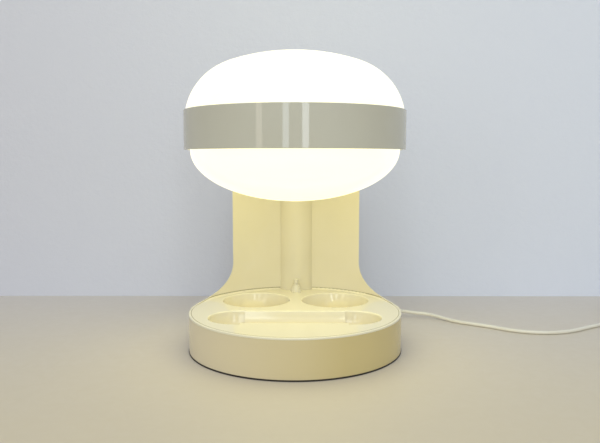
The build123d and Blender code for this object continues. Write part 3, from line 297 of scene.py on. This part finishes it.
# %% Ribbed sleeve at the cord's exit
EXIT_ANGLE = radians(65.0)
EXIT_HEIGHT = 12.0
DRUM_RADIUS = 120.0
GUARD_LENGTH, GUARD_BURIED = 28.0, 3.0
GUARD_ROOT, GUARD_TIP, GUARD_BORE = 5.0, 3.1, 2.3
BORE_DEPTH, BORE_MARGIN = 1.5, 0.1
GUARD_COLLAR = 2.6
GUARD_RINGS = 7
GROOVE_SHARE, GROOVE_DEPTH = 0.42, 0.55
GUARD_EDGE = 0.22

bpy.ops.mesh.primitive_cylinder_add(
    vertices=40,
    radius=GUARD_ROOT * MM,
    depth=(GUARD_LENGTH + GUARD_BURIED) * MM,
    location=millimetres(0, 0, (GUARD_LENGTH - GUARD_BURIED) / 2),
)
bpy.ops.object.transform_apply(location=True)
guard = start("flex_guard")
pitch = (GUARD_LENGTH - 2 * GUARD_COLLAR) / GUARD_RINGS
grooves = [GUARD_COLLAR + pitch * (ring + edge) for ring in range(GUARD_RINGS) for edge in (0.0, GROOVE_SHARE)]
cut_across((0, 0, 1), [*grooves, GUARD_LENGTH - GUARD_COLLAR])
pick(guard, lambda place, facing: abs(facing.z) > 0.9 and place.z > 0)
bpy.ops.mesh.inset(thickness=(GUARD_ROOT - GUARD_BORE) * MM)
lift(-BORE_DEPTH)
edit = bmesh.from_edit_mesh(guard.data)
for vertex in edit.verts:
    height = vertex.co.z / MM
    if height > 0 and vertex.co.xy.length > (GUARD_BORE + BORE_MARGIN) * MM:
        vertex.co.xy *= 1 - (1 - GUARD_TIP / GUARD_ROOT) * height / GUARD_LENGTH
bmesh.update_edit_mesh(guard.data)
for ring in range(GUARD_RINGS):
    middle = GUARD_COLLAR + pitch * (ring + GROOVE_SHARE / 2)
    pick(guard, lambda place, facing: abs(facing.z) < 0.5 and abs(place.z / MM - middle) < 0.05)
    sink(GROOVE_DEPTH)
bpy.ops.object.mode_set(mode="OBJECT")
guard.rotation_euler = (0, pi / 2, EXIT_ANGLE)
guard.location = millimetres(DRUM_RADIUS * cos(EXIT_ANGLE), DRUM_RADIUS * sin(EXIT_ANGLE), EXIT_HEIGHT)
round_edges(guard, GUARD_EDGE, 2)
settle(guard, 50)

# %% [markdown]
# ## The plug
#
# A small moulded two-pin plug. A block is tapered and flattened towards the cord, a shallow groove runs
# round it near the pin face, and three grip grooves are sunk into each side. Pushing faces about keeps the
# grooves crisp. The two round pins are the measured parts.

# %% Moulded plug body
PLUG_X = 479.0
PLUG_FRONT_Y, PLUG_SHOULDER_Y, PLUG_REAR_Y = 56.0, 75.8, 92.0
PLUG_LOW, PLUG_THICK = 0.05, 13.6
PLUG_WIDE, PLUG_NARROW, NECK_FLATTENING = 35.0, 16.0, 0.72
RIM_GROOVE_Y, RIM_GROOVE_DEPTH = (57.8, 59.0), 0.5
GRIPS_Y, GRIP_WIDTH, GRIP_DEPTH = (84.0, 81.6, 79.2), 1.2, 0.6
PLUG_EDGE = 1.1
LENGTHWISE = (0, 1, 0)

plug = start_block(
    "plug_moulding",
    (PLUG_X - PLUG_WIDE / 2, PLUG_FRONT_Y, PLUG_LOW),
    (PLUG_X + PLUG_WIDE / 2, PLUG_REAR_Y, PLUG_LOW + PLUG_THICK),
)
cut_across(LENGTHWISE, (PLUG_SHOULDER_Y, *reversed(RIM_GROOVE_Y)))
pick(plug, lambda place, facing: place.y > (PLUG_REAR_Y - 0.5) * MM, "VERT")
bpy.ops.transform.resize(value=(PLUG_NARROW / PLUG_WIDE, 1, NECK_FLATTENING))
pick(plug, lambda place, facing: abs(place.y / MM - sum(RIM_GROOVE_Y) / 2) < 0.3 and abs(facing.y) < 0.5)
sink(RIM_GROOVE_DEPTH)
for level in GRIPS_Y:
    cut_across(LENGTHWISE, (level, level - GRIP_WIDTH))
    pick(plug, lambda place, facing: abs(place.y / MM - level + GRIP_WIDTH / 2) < 0.2 and abs(facing.x) > 0.5)
    sink(GRIP_DEPTH)
bpy.ops.object.mode_set(mode="OBJECT")
round_edges(plug, PLUG_EDGE, 4, 40)
settle(plug, 40)

# %% [markdown]
# ## A dark ring for the shadow at the foot
#
# Under the drum's rim a dark ring in the bottom cover's finish stands where the shadow falls at the foot: a
# painted shadow, seen only as a thin dark line at the foot of the drum. A disc is inset into two rings, the
# middle is deleted, the rings are pulled up to their thickness, and the outer one a little more, as the
# turned-up edge.

# %% Dark ring for the painted shadow at the foot of the drum
FOOT_SHADOW_OUTER, FOOT_SHADOW_EDGE, FOOT_SHADOW_INNER = 120.25, 120.03, 113.0
FOOT_SHADOW_LOW, FOOT_SHADOW_HIGH, FOOT_SHADOW_TURNUP = 0.05, 0.78, 1.75
FOOT_SHADOW_ROUNDING = 0.05

bpy.ops.mesh.primitive_circle_add(
    vertices=192, radius=FOOT_SHADOW_OUTER * MM, fill_type="NGON", location=millimetres(0, 0, FOOT_SHADOW_LOW)
)
foot_shadow = start("felt_ring")
bpy.ops.mesh.select_all(action="SELECT")
bpy.ops.mesh.inset(thickness=(FOOT_SHADOW_OUTER - FOOT_SHADOW_EDGE) * MM)
bpy.ops.mesh.inset(thickness=(FOOT_SHADOW_EDGE - FOOT_SHADOW_INNER) * MM)
bpy.ops.mesh.delete(type="ONLY_FACE")
bpy.ops.mesh.select_all(action="SELECT")
lift(FOOT_SHADOW_HIGH - FOOT_SHADOW_LOW)
pick(
    foot_shadow,
    lambda place, facing: abs(facing.z) > 0.9 and place.z > 0.5 * MM and place.xy.length > FOOT_SHADOW_EDGE * MM,
)
lift(FOOT_SHADOW_TURNUP - FOOT_SHADOW_HIGH)
bpy.ops.object.mode_set(mode="OBJECT")
round_edges(foot_shadow, FOOT_SHADOW_ROUNDING, 1)
settle(foot_shadow)

# %% [markdown]
# ## The switch's return spring
#
# Inside the switch a small wire spring carries the button. It gets shorter as the button goes down, so it is
# wound here as its own piece.
# One small ring, turned about the spring's middle while it climbs, makes the coil. It is wound about the
# scene's middle first, then put in its place, and both ends of the wire are closed.

# %% Wind the spring
SPRING_MIDDLE_Y = 96.0
SPRING_LOW, SPRING_HIGH = 23.65, 37.25
SPRING_RADIUS = 3.0
SPRING_WIRE = 0.3
SPRING_TURNS, TURN_STEPS = 6, 24

bpy.ops.mesh.primitive_circle_add(vertices=10, radius=SPRING_WIRE * MM, location=(0, 0, 0))
spring = start("return_spring")
bpy.ops.mesh.select_all(action="SELECT")
bpy.ops.transform.rotate(value=pi / 2, orient_axis="X")
bpy.ops.transform.translate(value=tuple(millimetres(SPRING_RADIUS, 0, SPRING_LOW + SPRING_WIRE)))
bpy.ops.object.mode_set(mode="OBJECT")
winding = spring.modifiers.new("winding", "SCREW")
winding.angle = SPRING_TURNS * 2 * pi
winding.screw_offset = (SPRING_HIGH - SPRING_LOW - 2 * SPRING_WIRE) * MM
winding.steps = winding.render_steps = SPRING_TURNS * TURN_STEPS
settle(spring)
spring.location = millimetres(0, SPRING_MIDDLE_Y, 0)
spring.select_set(True)
bpy.context.view_layer.objects.active = spring
bpy.ops.object.mode_set(mode="EDIT")
bpy.ops.mesh.select_all(action="SELECT")
bpy.ops.mesh.fill_holes(sides=0)
settle(spring)
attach(spring, "lamp")
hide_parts("button_spring")
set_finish(spring, "steel")
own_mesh(spring)

# %% [markdown]
# ## Who rides on what
#
# The cord and its pieces stand for their measured solids and stay with the lamp, and so does the dark ring
# for the shadow at the foot, which stands for none.

for piece, stands_for, slot_name in (
    (cord, ("cord_tube", "cord_coil", "cord_tail"), "cord_plastic"),
    (guard, ("strain_relief",), "cord_plastic"),
    (tie, ("cord_tie",), "plug_plastic"),
    (plug, ("plug_body",), "plug_plastic"),
    (foot_shadow, (), "cover_plastic"),
):
    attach(piece, "lamp")
    if stands_for:
        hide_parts(*stands_for)
    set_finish(piece, slot_name)

# %% [markdown]
# ## Shared surface effects
#
# Nothing moulded is one flat colour. Three small node groups are built once and used by every finish:
# *drift* lets the colour and the gloss wander slowly over the surface, *skin* is the fine unevenness of a
# moulded or cast surface, and *dust* finds the places that face up, where dust settles.
# Groups give out only colours, masks and heights. The shader itself stays in each material.

# %% Node helpers and the three groups
def add(tree, kind, **inputs):
    """A node with some of its sockets set."""
    made = tree.nodes.new(kind)
    for name, value in inputs.items():
        made.inputs[name.replace("_", " ")].default_value = value
    return made


def group(name, inputs, outputs):
    """An empty node group with its sockets, and its first and last nodes."""
    tree = bpy.data.node_groups.new(name, "ShaderNodeTree")
    for label, kind, value in inputs:
        socket = tree.interface.new_socket(name=label, in_out="INPUT", socket_type=kind)
        socket.default_value = value
    for label, kind in outputs:
        tree.interface.new_socket(name=label, in_out="OUTPUT", socket_type=kind)
    return tree, tree.nodes.new("NodeGroupInput"), tree.nodes.new("NodeGroupOutput")


def feed(tree, value, socket):
    """Links a socket into another, or sets a plain value there."""
    if hasattr(value, "is_output"):
        tree.links.new(value, socket)
    else:
        socket.default_value = value


def blend(tree, factor, first, second):
    """Mixes two colours by a factor, each a socket or a plain value."""
    made = tree.nodes.new("ShaderNodeMix")
    made.data_type = "RGBA"
    for index, value in ((0, factor), (6, first), (7, second)):
        feed(tree, value, made.inputs[index])
    return made.outputs[2]


def remap(tree, value, from_low, from_high, to_low=0.0, to_high=1.0):
    """Stretches a value from one range to another; any of them may be a socket."""
    made = tree.nodes.new("ShaderNodeMapRange")
    for index, item in enumerate((value, from_low, from_high, to_low, to_high)):
        feed(tree, item, made.inputs[index])
    return made.outputs[0]


def calculate(tree, operation, *values):
    """One step of arithmetic on sockets or plain numbers."""
    made = tree.nodes.new("ShaderNodeMath")
    made.operation = operation
    for socket, value in zip(made.inputs, values):
        feed(tree, value, socket)
    return made.outputs[0]


def place_parts(tree):
    """X, Y and Z of a place, in the piece's own coordinates."""
    place = tree.nodes.new("ShaderNodeTexCoord")
    parts = tree.nodes.new("ShaderNodeSeparateXYZ")
    tree.links.new(place.outputs["Object"], parts.inputs[0])
    return parts.outputs


def noise(tree, scale, detail=2.0, distortion=0.0):
    """Noise on the piece's own coordinates; the scale may be a socket."""
    place = tree.nodes.new("ShaderNodeTexCoord")
    made = add(tree, "ShaderNodeTexNoise", Detail=detail, Distortion=distortion)
    tree.links.new(place.outputs["Object"], made.inputs["Vector"])
    feed(tree, scale, made.inputs["Scale"])
    return made.outputs[0]


drift, ins, outs = group(
    "drift",
    (("Scale", "NodeSocketFloat", 20.0), ("Colour A", "NodeSocketColor", (1, 1, 1, 1)),
     ("Colour B", "NodeSocketColor", (1, 1, 1, 1)), ("Rough A", "NodeSocketFloat", 0.2),
     ("Rough B", "NodeSocketFloat", 0.3)),
    (("Colour", "NodeSocketColor"), ("Roughness", "NodeSocketFloat")),
)
cloud = remap(drift, noise(drift, ins.outputs["Scale"], 4.0, 0.4), 0.32, 0.68)
drift.links.new(blend(drift, cloud, ins.outputs["Colour A"], ins.outputs["Colour B"]), outs.inputs["Colour"])
smear = remap(drift, noise(drift, 63.0, 5.0, 1.2), 0.3, 0.7, ins.outputs["Rough A"], ins.outputs["Rough B"])
drift.links.new(smear, outs.inputs["Roughness"])

skin, ins, outs = group(
    "skin",
    (("Fine", "NodeSocketFloat", 900.0), ("Broad", "NodeSocketFloat", 60.0),
     ("Fine Share", "NodeSocketFloat", 0.4)),
    (("Height", "NodeSocketFloat"),),
)
mixed = skin.nodes.new("ShaderNodeMix")
skin.links.new(ins.outputs["Fine Share"], mixed.inputs[0])
skin.links.new(noise(skin, ins.outputs["Broad"], 1.0), mixed.inputs[2])
skin.links.new(noise(skin, ins.outputs["Fine"], 3.0), mixed.inputs[3])
skin.links.new(mixed.outputs[0], outs.inputs["Height"])

dust, ins, outs = group("dust", (("Amount", "NodeSocketFloat", 0.2),), (("Mask", "NodeSocketFloat"),))
geometry = dust.nodes.new("ShaderNodeNewGeometry")
parts = dust.nodes.new("ShaderNodeSeparateXYZ")
dust.links.new(geometry.outputs["Normal"], parts.inputs[0])
upward = remap(dust, parts.outputs["Z"], 0.5, 1.0)
specks = remap(dust, noise(dust, 420.0, 6.0), 0.45, 0.75, 0.15, 1.0)
settled = calculate(dust, "MULTIPLY", calculate(dust, "MULTIPLY", upward, specks), ins.outputs["Amount"])
dust.links.new(settled, outs.inputs["Mask"])
print("node groups:", [tree.name for tree in bpy.data.node_groups])

# %% [markdown]
# ## The plain finishes
#
# One recipe makes all the plastics, metals, ceramics and rubber: two close colours that drift into each
# other, a gloss that varies between two values, a fine skin for the bump, and a little dust on top. The
# numbers differ for each real material: cream ABS is glossy with an orange-peel skin, the bottom cover is
# dull pressed board, brass and steel are brushed by handling.

# %% One recipe, many finishes
DUST_COLOUR = (0.62, 0.6, 0.56, 1)
GLOSS_IOR = 1.5
COAT_ROUGHNESS = 0.08


def finish(name, colour, drift_to, rough, bump, metal=0.0, dusty=0.0, skin_size=(900.0, 60.0), coat=0.0):
    """A Principled material whose colour, gloss and skin vary over the piece."""
    material = bpy.data.materials.new(name)
    material.use_nodes = True
    tree = material.node_tree
    shader = tree.nodes["Principled BSDF"]
    wander = add(tree, "ShaderNodeGroup")
    wander.node_tree = bpy.data.node_groups["drift"]
    wander.inputs["Colour A"].default_value = (*colour, 1)
    wander.inputs["Colour B"].default_value = (*drift_to, 1)
    wander.inputs["Rough A"].default_value, wander.inputs["Rough B"].default_value = rough
    colour_out = wander.outputs["Colour"]
    if dusty:
        settled = tree.nodes.new("ShaderNodeGroup")
        settled.node_tree = bpy.data.node_groups["dust"]
        settled.inputs["Amount"].default_value = dusty
        colour_out = blend(tree, settled.outputs["Mask"], colour_out, DUST_COLOUR)
    tree.links.new(colour_out, shader.inputs["Base Color"])
    tree.links.new(wander.outputs["Roughness"], shader.inputs["Roughness"])
    surface = tree.nodes.new("ShaderNodeGroup")
    surface.node_tree = bpy.data.node_groups["skin"]
    surface.inputs["Fine"].default_value, surface.inputs["Broad"].default_value = skin_size
    relief = add(tree, "ShaderNodeBump", Strength=bump[0], Distance=bump[1] * MM)
    tree.links.new(surface.outputs["Height"], relief.inputs["Height"])
    tree.links.new(relief.outputs["Normal"], shader.inputs["Normal"])
    shader.inputs["Metallic"].default_value = metal
    shader.inputs["IOR"].default_value = GLOSS_IOR
    shader.inputs["Coat Weight"].default_value = coat
    shader.inputs["Coat Roughness"].default_value = COAT_ROUGHNESS
    return material


FINISHES = {
    "shell_plastic": finish("cream_abs", (0.80, 0.745, 0.575), (0.78, 0.725, 0.54), (0.05, 0.10), (0.03, 0.5),
                            dusty=0.06, skin_size=(1300.0, 70.0)),
    "band_plastic": finish("cream_band", (0.575, 0.56, 0.465), (0.56, 0.54, 0.44), (0.03, 0.06), (0.015, 0.5),
                           skin_size=(1300.0, 50.0)),
    "switch_plastic": finish("cream_switch", (0.82, 0.78, 0.64), (0.76, 0.71, 0.54), (0.2, 0.32), (0.15, 0.2),
                             dusty=0.1),
    "cover_plastic": finish("pressed_board", (0.035, 0.026, 0.02), (0.022, 0.016, 0.012), (0.6, 0.8), (0.5, 0.4),
                            skin_size=(2500.0, 300.0)),
    "rubber": finish("black_rubber", (0.012, 0.012, 0.012), (0.02, 0.019, 0.018), (0.65, 0.85), (0.4, 0.2)),
    "steel": finish("zinc_steel", (0.52, 0.52, 0.50), (0.42, 0.42, 0.42), (0.28, 0.42), (0.2, 0.1), metal=1.0),
    "brass": finish("brass", (0.68, 0.47, 0.17), (0.52, 0.34, 0.12), (0.25, 0.42), (0.2, 0.1), metal=1.0),
    "bakelite": finish("brown_bakelite", (0.030, 0.014, 0.008), (0.02, 0.010, 0.006), (0.18, 0.3), (0.12, 0.2)),
    "porcelain": finish("glazed_porcelain", (0.80, 0.78, 0.72), (0.74, 0.71, 0.64), (0.12, 0.2), (0.2, 0.3),
                        coat=0.5),
    "cap_metal": finish("tinned_cap", (0.66, 0.65, 0.62), (0.55, 0.54, 0.5), (0.22, 0.38), (0.2, 0.1), metal=1.0),
    "cord_plastic": finish("cord_sheath", (0.82, 0.79, 0.68), (0.76, 0.72, 0.58), (0.32, 0.45), (0.25, 0.15),
                           skin_size=(1800.0, 160.0)),
    "plug_plastic": finish("plug_moulding", (0.80, 0.77, 0.66), (0.74, 0.70, 0.57), (0.28, 0.42), (0.2, 0.2),
                           dusty=0.08),
    "lead_red": finish("red_sheath", (0.33, 0.02, 0.012), (0.27, 0.015, 0.01), (0.35, 0.5), (0.2, 0.1)),
    "lead_blue": finish("blue_sheath", (0.02, 0.05, 0.22), (0.015, 0.04, 0.17), (0.35, 0.5), (0.2, 0.1)),
    "lead_brown": finish("brown_sheath", (0.10, 0.035, 0.012), (0.07, 0.025, 0.009), (0.35, 0.5), (0.2, 0.1)),
}
print(len(FINISHES), "plain finishes")

# %% [markdown]
# ## The lit opal bowls and the bulb
#
# The bowls are white opal acrylic with a lamp inside. A true translucent wall would need many more light
# paths. A glowing surface under a glossy skin looks the same and is cleaner. The light that the bowls cast is
# warm, and dimmer near the band, where the wall is thicker and further from the bulb. Looked at directly they
# are toned down, so that they don't burn out to a flat white, and painted shade makes them a little darker and
# warmer at their rims, by the slant they are seen at. The bulb points forward from a holder at the back, so the
# rear of both bowls is dimmer in both. The bulb glows evenly.

# %% Glowing finishes
BAND_HEIGHT = (0.2234, 0.2657)
BOWL_REACH = 0.03
GLOW = 2.1
BULB_GLOW = 6.0
GLOW_COLOUR = (1.0, 0.945, 0.52, 1)
BAND_COLOUR = (0.66, 0.61, 0.44, 1)
SEEN_COLOUR = (0.475, 0.46, 0.375, 1)
# Painted shade: the colour the camera sees at the bowls' rims, darker and warmer than their middle.
RIM_PAINTED_SHADE = (0.43, 0.40, 0.30, 1)
RIM_SHADE_FROM = 0.55
REAR_COLOUR = (0.40, 0.375, 0.26, 1)
REAR_FROM, REAR_TO = 0.0, 0.1


def glowing(name, strength):
    """Opal finish that gives off light all over, as bright as its strength."""
    material = finish(
        name, (0.52, 0.52, 0.26), (0.49, 0.49, 0.23), (0.08, 0.14), (0.03, 0.4), skin_size=(900.0, 40.0)
    )
    shader = material.node_tree.nodes["Principled BSDF"]
    shader.inputs["Emission Color"].default_value = GLOW_COLOUR
    shader.inputs["Emission Strength"].default_value = strength
    return material


def shade_bowl(material):
    """Dims a glowing finish near the band and at the rear, and keeps its bright middle from burning out.
    Seen at a slant, its rims get a painted shade, darker and warmer.
    """
    tree = material.node_tree
    place = place_parts(tree)
    above = remap(tree, place["Z"], BAND_HEIGHT[1], BAND_HEIGHT[1] + BOWL_REACH)
    below = remap(tree, place["Z"], BAND_HEIGHT[0], BAND_HEIGHT[0] - BOWL_REACH)
    cast = blend(tree, calculate(tree, "ADD", above, below), BAND_COLOUR, GLOW_COLOUR)
    # Painted shade: where the camera sees the bowl at a slant, at its rims, the seen glow turns darker and
    # warmer.
    slant = add(tree, "ShaderNodeLayerWeight", Blend=0.5)
    seen = blend(tree, remap(tree, slant.outputs["Facing"], RIM_SHADE_FROM, 1.0), SEEN_COLOUR, RIM_PAINTED_SHADE)
    path = tree.nodes.new("ShaderNodeLightPath")
    either = blend(tree, path.outputs["Is Camera Ray"], cast, seen)
    rear = remap(tree, place["Y"], REAR_FROM, REAR_TO)
    shader = tree.nodes["Principled BSDF"]
    tree.links.new(blend(tree, rear, either, REAR_COLOUR), shader.inputs["Emission Color"])


FINISHES["diffuser"] = glowing("opal_acrylic", GLOW)
shade_bowl(FINISHES["diffuser"])
FINISHES["bulb_glass"] = glowing("opal_bulb", BULB_GLOW)
print("glowing finishes: opal_acrylic, opal_bulb")

# %% [markdown]
# ## Painted light on the drum, painted shade in the tray
#
# The drum's side is painted deeper and warmer in tone than the tray and the wall above it, and more so on the
# right: painted warm light and shade, as the lamp's light thrown back off the table falls on it. The same
# finish is tinted by height and by how far to the right a place is, on the piece's own coordinates. The tray's
# pans are painted a little darker towards their floors, as painted shade in the hollows, and a painted shadow
# draws a fine dark line for the seam round the top near its edge.

# %% Tint the drum and the tray
DRUM_PAINTED_LEFT, DRUM_PAINTED_RIGHT = (0.76, 0.67, 0.47), (0.63, 0.52, 0.25)
DRUM_PAINT_TOP = (0.041, 0.0425)
PAN_FLOOR_SHADE, TRAY_TOP = (0.71, 0.625, 0.40), (0.82, 0.765, 0.575)
SEAM_RADIUS, SEAM_HALF = 0.1170, 0.00045
SEAM_SHADOW_COLOUR = (0.42, 0.37, 0.22, 1)


def tint(material, axis, low, high, first, second, below=None):
    """Blends from one tone to another along an axis, over the finish's own colour. It can stop at a height."""
    tree = material.node_tree
    socket = tree.nodes["Principled BSDF"].inputs["Base Color"]
    place = place_parts(tree)
    toned = blend(tree, remap(tree, place[axis], low, high), (*first, 1), (*second, 1))
    if below:
        toned = blend(tree, remap(tree, place["Z"], *below, 1.0, 0.0), socket.links[0].from_socket, toned)
    tree.links.new(toned, socket)


def draw_ring(material, radius, half_width, colour):
    """Draws a fine ring about the Z axis over the finish's colour."""
    tree = material.node_tree
    socket = tree.nodes["Principled BSDF"].inputs["Base Color"]
    place = place_parts(tree)
    squares = [calculate(tree, "MULTIPLY", place[axis], place[axis]) for axis in "XY"]
    reach = calculate(tree, "SQRT", calculate(tree, "ADD", *squares))
    ring = calculate(tree, "COMPARE", reach, radius, half_width)
    tree.links.new(blend(tree, ring, socket.links[0].from_socket, colour), socket)


drum_painted_light = FINISHES["shell_plastic"].copy()
drum_painted_light.name = "cream_abs_yellowed"
# Painted warm light and shade on the drum's side, deeper and warmer to the right, stopping below the top.
tint(drum_painted_light, "X", -0.1, 0.05, DRUM_PAINTED_LEFT, DRUM_PAINTED_RIGHT, DRUM_PAINT_TOP)
# Painted shade: the tray is tinted darker and warmer towards the floors of its pans.
tray_painted_shade = FINISHES["shell_plastic"].copy()
tray_painted_shade.name = "cream_abs_handled"
tint(tray_painted_shade, "Z", 0.027, 0.0415, PAN_FLOOR_SHADE, TRAY_TOP)
# Painted shadow: a fine dark ring for the seam near the tray's edge.
draw_ring(tray_painted_shade, SEAM_RADIUS, SEAM_HALF, SEAM_SHADOW_COLOUR)
print("drum side, tray pans and seam line tinted")

# %% [markdown]
# ## Give every piece its finish
#
# Each measured part already carries the name of its finish, so one loop puts the right material on all of
# them, and on the pieces modelled here by their slot.

# %% Put the finishes on
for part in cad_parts.values():
    slot_name = part.data.materials[0].name.split(".")[0]
    part.data.materials[0] = FINISHES[slot_name]
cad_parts["base_shell"].data.materials[0] = drum_painted_light
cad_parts["tray"].data.materials[0] = tray_painted_shade
modelled = (cord, guard, tie, plug, foot_shadow, spring)
for piece in modelled:
    piece.data.materials.clear()
    piece.data.materials.append(FINISHES[piece["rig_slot"]])
print("finished", len(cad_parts), "parts and", len(modelled), "modelled pieces")

# %% [markdown]
# ## Table and wall
#
# The lamp stands on a pale matt table pushed against a pale papered wall. Both are plain sheets. Painted
# light makes the table warmer near the front, where the lamp's light falls, and a little greyer further back,
# and the wall lighter and bluer to the right, where cool daylight falls. The wall is see-through from behind,
# so that the back of the lamp can be looked at too.

# %% Table and wall
WALL_Y = 0.268
TABLE_REACH = 4.0
TABLE_PAINTED_NEAR, TABLE_PAINTED_FAR = (0.65, 0.565, 0.395), (0.655, 0.605, 0.54)
WALL_PAINTED_LEFT, WALL_PAINTED_RIGHT = (0.68, 0.685, 0.74), (0.765, 0.80, 0.88)

bpy.ops.mesh.primitive_plane_add(size=2 * TABLE_REACH, location=(0, 0, 0))
table = bpy.context.object
table.name = "table"
table_top = finish("table_top", TABLE_PAINTED_NEAR, TABLE_PAINTED_FAR, (0.45, 0.6), (0.1, 0.3), skin_size=(700.0, 9.0))
# Painted light: the table is warmer near the front, where the lamp's light falls, and greyer further back.
tint(table_top, "Y", -0.35, 0.25, TABLE_PAINTED_NEAR, TABLE_PAINTED_FAR)
table.data.materials.append(table_top)

bpy.ops.mesh.primitive_plane_add(size=2 * TABLE_REACH, location=(0, WALL_Y, 0), rotation=(pi / 2, 0, 0))
wall = bpy.context.object
wall.name = "wall"
paper = finish("wall_paper", WALL_PAINTED_LEFT, WALL_PAINTED_RIGHT, (0.8, 0.9), (0.5, 1.2), skin_size=(420.0, 130.0))
# Painted light: the wall is lighter and bluer to the right, where cool daylight falls.
tint(paper, "X", -0.45, 0.45, WALL_PAINTED_LEFT, WALL_PAINTED_RIGHT)
wall.data.materials.append(paper)
tree = paper.node_tree
side = tree.nodes.new("ShaderNodeNewGeometry")
clear = tree.nodes.new("ShaderNodeBsdfTransparent")
both = tree.nodes.new("ShaderNodeMixShader")
tree.links.new(side.outputs["Backfacing"], both.inputs[0])
tree.links.new(tree.nodes["Principled BSDF"].outputs[0], both.inputs[1])
tree.links.new(clear.outputs[0], both.inputs[2])
tree.links.new(both.outputs[0], tree.nodes["Material Output"].inputs["Surface"])
deselect_all()
print("table and wall are in place")

# %% [markdown]
# ## Light
#
# Soft daylight comes from windows behind the viewer. A cylinder squeezes what it mirrors, so tall narrow
# lights show in the glossy band as thin upright streaks. The pale surroundings fill the shadows. The lamp's
# own bowls light the tray.

# %% Daylight and surroundings
LIT_POINT = (0, 0, 0.22)
DAYLIGHT = (0.90, 0.96, 1.0)
COOL_DAYLIGHT = (0.82, 0.92, 1.0)
WARM_DAYLIGHT = (1.0, 0.90, 0.78)
ROOM_COLOUR, ROOM_STRENGTH = (0.93, 0.96, 1.0, 1), 0.45


def window(name, azimuth, distance, width, bottom, top, strength, colour=DAYLIGHT):
    """A tall light at an angle from straight in front, positive to the right, facing the lamp."""
    angle = radians(azimuth)
    place = Vector((distance * sin(angle), -distance * cos(angle), (bottom + top) / 2))
    bpy.ops.object.light_add(type="AREA", location=place)
    pane = bpy.context.object
    pane.name = name
    pane.rotation_mode = "QUATERNION"
    pane.rotation_quaternion = (Vector(LIT_POINT) - place).to_track_quat("-Z", "Y")
    pane.data.shape = "RECTANGLE"
    pane.data.size, pane.data.size_y = width, top - bottom
    pane.data.energy, pane.data.color = strength, colour


window("window_middle", 10.5, 2.4, 0.30, 0.1, 2.4, 10.8)
window("window_left", -8.0, 2.4, 0.28, 0.1, 2.4, 7.6, COOL_DAYLIGHT)
window("window_far_left", -33.5, 2.4, 0.28, 0.1, 2.2, 4.0, WARM_DAYLIGHT)
window("soft_overhead", 0.0, 1.6, 3.0, 1.6, 3.4, 22.0)

world = bpy.data.worlds.new("pale_room")
bpy.context.scene.world = world
world.use_nodes = True
background = world.node_tree.nodes["Background"]
background.inputs["Color"].default_value = ROOM_COLOUR
background.inputs["Strength"].default_value = ROOM_STRENGTH
bpy.context.scene.view_settings.view_transform = "Standard"
deselect_all()
